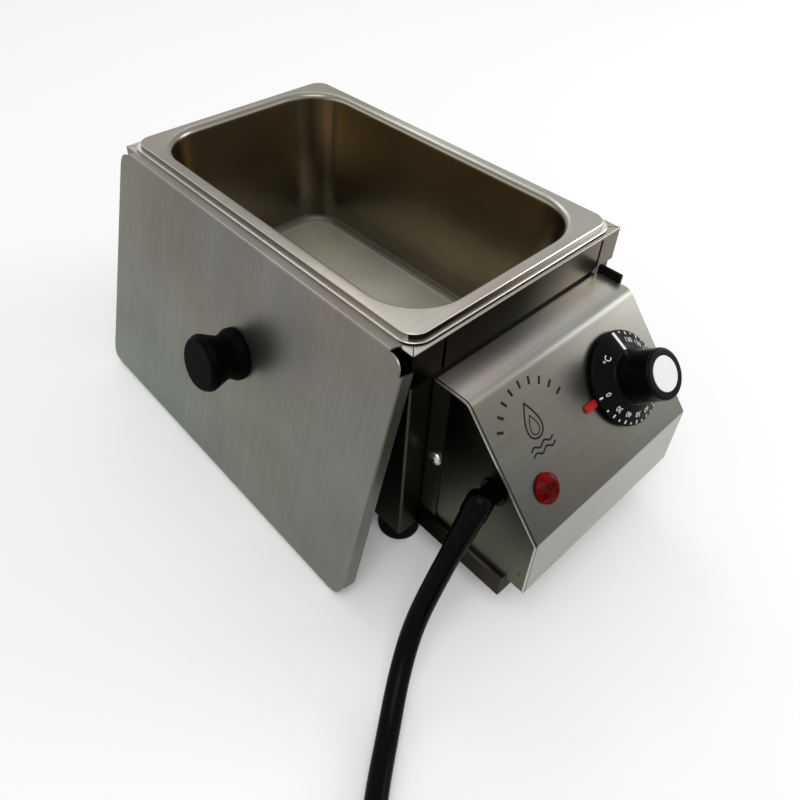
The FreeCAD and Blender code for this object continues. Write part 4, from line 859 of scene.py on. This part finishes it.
# Pilot lamp
# A push-in neon indicator. Its faceted lens is moulded in clear red plastic; its colour paints the light and
# shade in it, darkest in the middle, where the tube is, brightest towards its rim, and varied facet by facet
# as painted glints.
lens_low, lens_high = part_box("pilot_lamp_lens")
lens_middle = (lens_low + lens_high) / 2
lens_radius = (lens_high.x - lens_low.x) / 2
lamp_red = bpy.data.materials.new("red lens")
lamp_red.use_nodes = True
tree = lamp_red.node_tree
shader = tree.nodes["Principled BSDF"]
shader.inputs["Roughness"].default_value = 0.12
shader.inputs["Specular IOR Level"].default_value = 0.05
place = tree.nodes.new("ShaderNodeTexCoord")
centred = tree.nodes.new("ShaderNodeMapping")
centred.inputs["Location"].default_value = -lens_middle
tree.links.new(place.outputs["Object"], centred.inputs["Vector"])
reach = tree.nodes.new("ShaderNodeVectorMath")
reach.operation = "LENGTH"
tree.links.new(centred.outputs["Vector"], reach.inputs[0])
rings = tree.nodes.new("ShaderNodeMapRange")
rings.inputs["From Max"].default_value = lens_radius
tree.links.new(reach.outputs["Value"], rings.inputs["Value"])
facets = tree.nodes.new("ShaderNodeTexVoronoi")
facets.inputs["Scale"].default_value = 330
tree.links.new(place.outputs["Object"], facets.inputs["Vector"])
painted_lens_light = tree.nodes.new("ShaderNodeMix")
painted_lens_light.inputs["Factor"].default_value = 0.4
tree.links.new(rings.outputs["Result"], painted_lens_light.inputs["A"])
tree.links.new(facets.outputs["Distance"], painted_lens_light.inputs["B"])
lens_tone = tree.nodes.new("ShaderNodeValToRGB")
lens_tone.color_ramp.elements[0].position = 0.38
lens_tone.color_ramp.elements[0].color = (0.008, 0.0, 0.0, 1)
lens_tone.color_ramp.elements[1].position = 0.88
lens_tone.color_ramp.elements[1].color = (0.17, 0.0, 0.0008, 1)
tree.links.new(painted_lens_light.outputs["Result"], lens_tone.inputs["Fac"])
tree.links.new(lens_tone.outputs["Color"], shader.inputs["Base Color"])
dress(lamp_red, "pilot_lamp_lens")


# Etched mark
# A plain drop over two waves under an arch of short bars, laser etched on the panel beside the dial as
# dark lines in the steel. The panel lies square to the dial's axis.
mark_place = Vector((-0.0365, -0.1765, 0.1123))
clear_of_panel, mark_proud = 50 * MM, 0.02 * MM
cover_surface = BVHTree.FromObject(nodes["control_cover"], bpy.context.evaluated_depsgraph_get())
panel_face = cover_surface.ray_cast(mark_place + dial_out * clear_of_panel, -dial_out)[0]
mark_middle = panel_face + dial_out * mark_proud
mark_mesh = bmesh.new()


def etch(points, width):
    """A flat etched line along points given as x to the right and y up the panel, in millimetres."""
    flat = [Vector(point) * MM for point in points]
    before = []
    for i, point in enumerate(flat):
        course = (flat[min(i + 1, len(flat) - 1)] - flat[max(i - 1, 0)]).normalized()
        aside = Vector((-course.y, course.x)) * width * MM / 2
        pair = [mark_mesh.verts.new(mark_middle + dial_right * p.x + dial_up * p.y)
                for p in (point + aside, point - aside)]
        if before:
            bmesh.ops.contextual_create(mark_mesh, geom=before + pair)
        before = pair


# The drop and a smaller one inside it, in millimetres from the mark's middle as all of the mark is.
mark_x = -0.5
drop_half_width, drop_half_height, drop_taper, drop_steps = 7.6, 9.5, 1.4, 40
for share, drop_y, line_width in ((1.0, 3.5, 1.0), (0.55, 1.0, 0.7)):
    drop = []
    for step in range(drop_steps + 1):
        angle = full_turn * step / drop_steps
        swell = math.sin(angle) * math.sin(angle / 2) ** drop_taper
        drop.append((mark_x + drop_half_width * share * swell,
                     drop_y + drop_half_height * share * math.cos(angle)))
    etch(drop, line_width)
wave_reach, wave_step, wave_rise, wave_pace, wave_width = 17, 0.5, 0.9, 0.8, 1.0
for wave_y in (-9.6, -12.8):
    wave = [wave_step * k for k in range(-wave_reach, wave_reach + 1)]
    etch([(x + mark_x, wave_y + wave_rise * math.sin(x * wave_pace)) for x in wave], wave_width)
arch_x, arch_y, arch_inner, arch_outer = 1, -2.5, 22.4, 26.6
bars, first_bar, bar_step, arch_bar_width = 9, 155, 16.5, 1.5
for k in range(bars):
    angle = math.radians(first_bar - bar_step * k)
    etch([(arch_x + reach * math.cos(angle), arch_y + reach * math.sin(angle))
          for reach in (arch_inner, arch_outer)], arch_bar_width)
bmesh.ops.recalc_face_normals(mark_mesh, faces=mark_mesh.faces)
etched_mark = linked_piece("etched_mark", mark_mesh)
etched_steel = plain_material("etched steel", (0.012, 0.009, 0.006), 0.6, mottle=0.4, scale=300,
                              specular=0.08)
etched_mark.data.materials.append(etched_steel)
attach(etched_mark, "root")
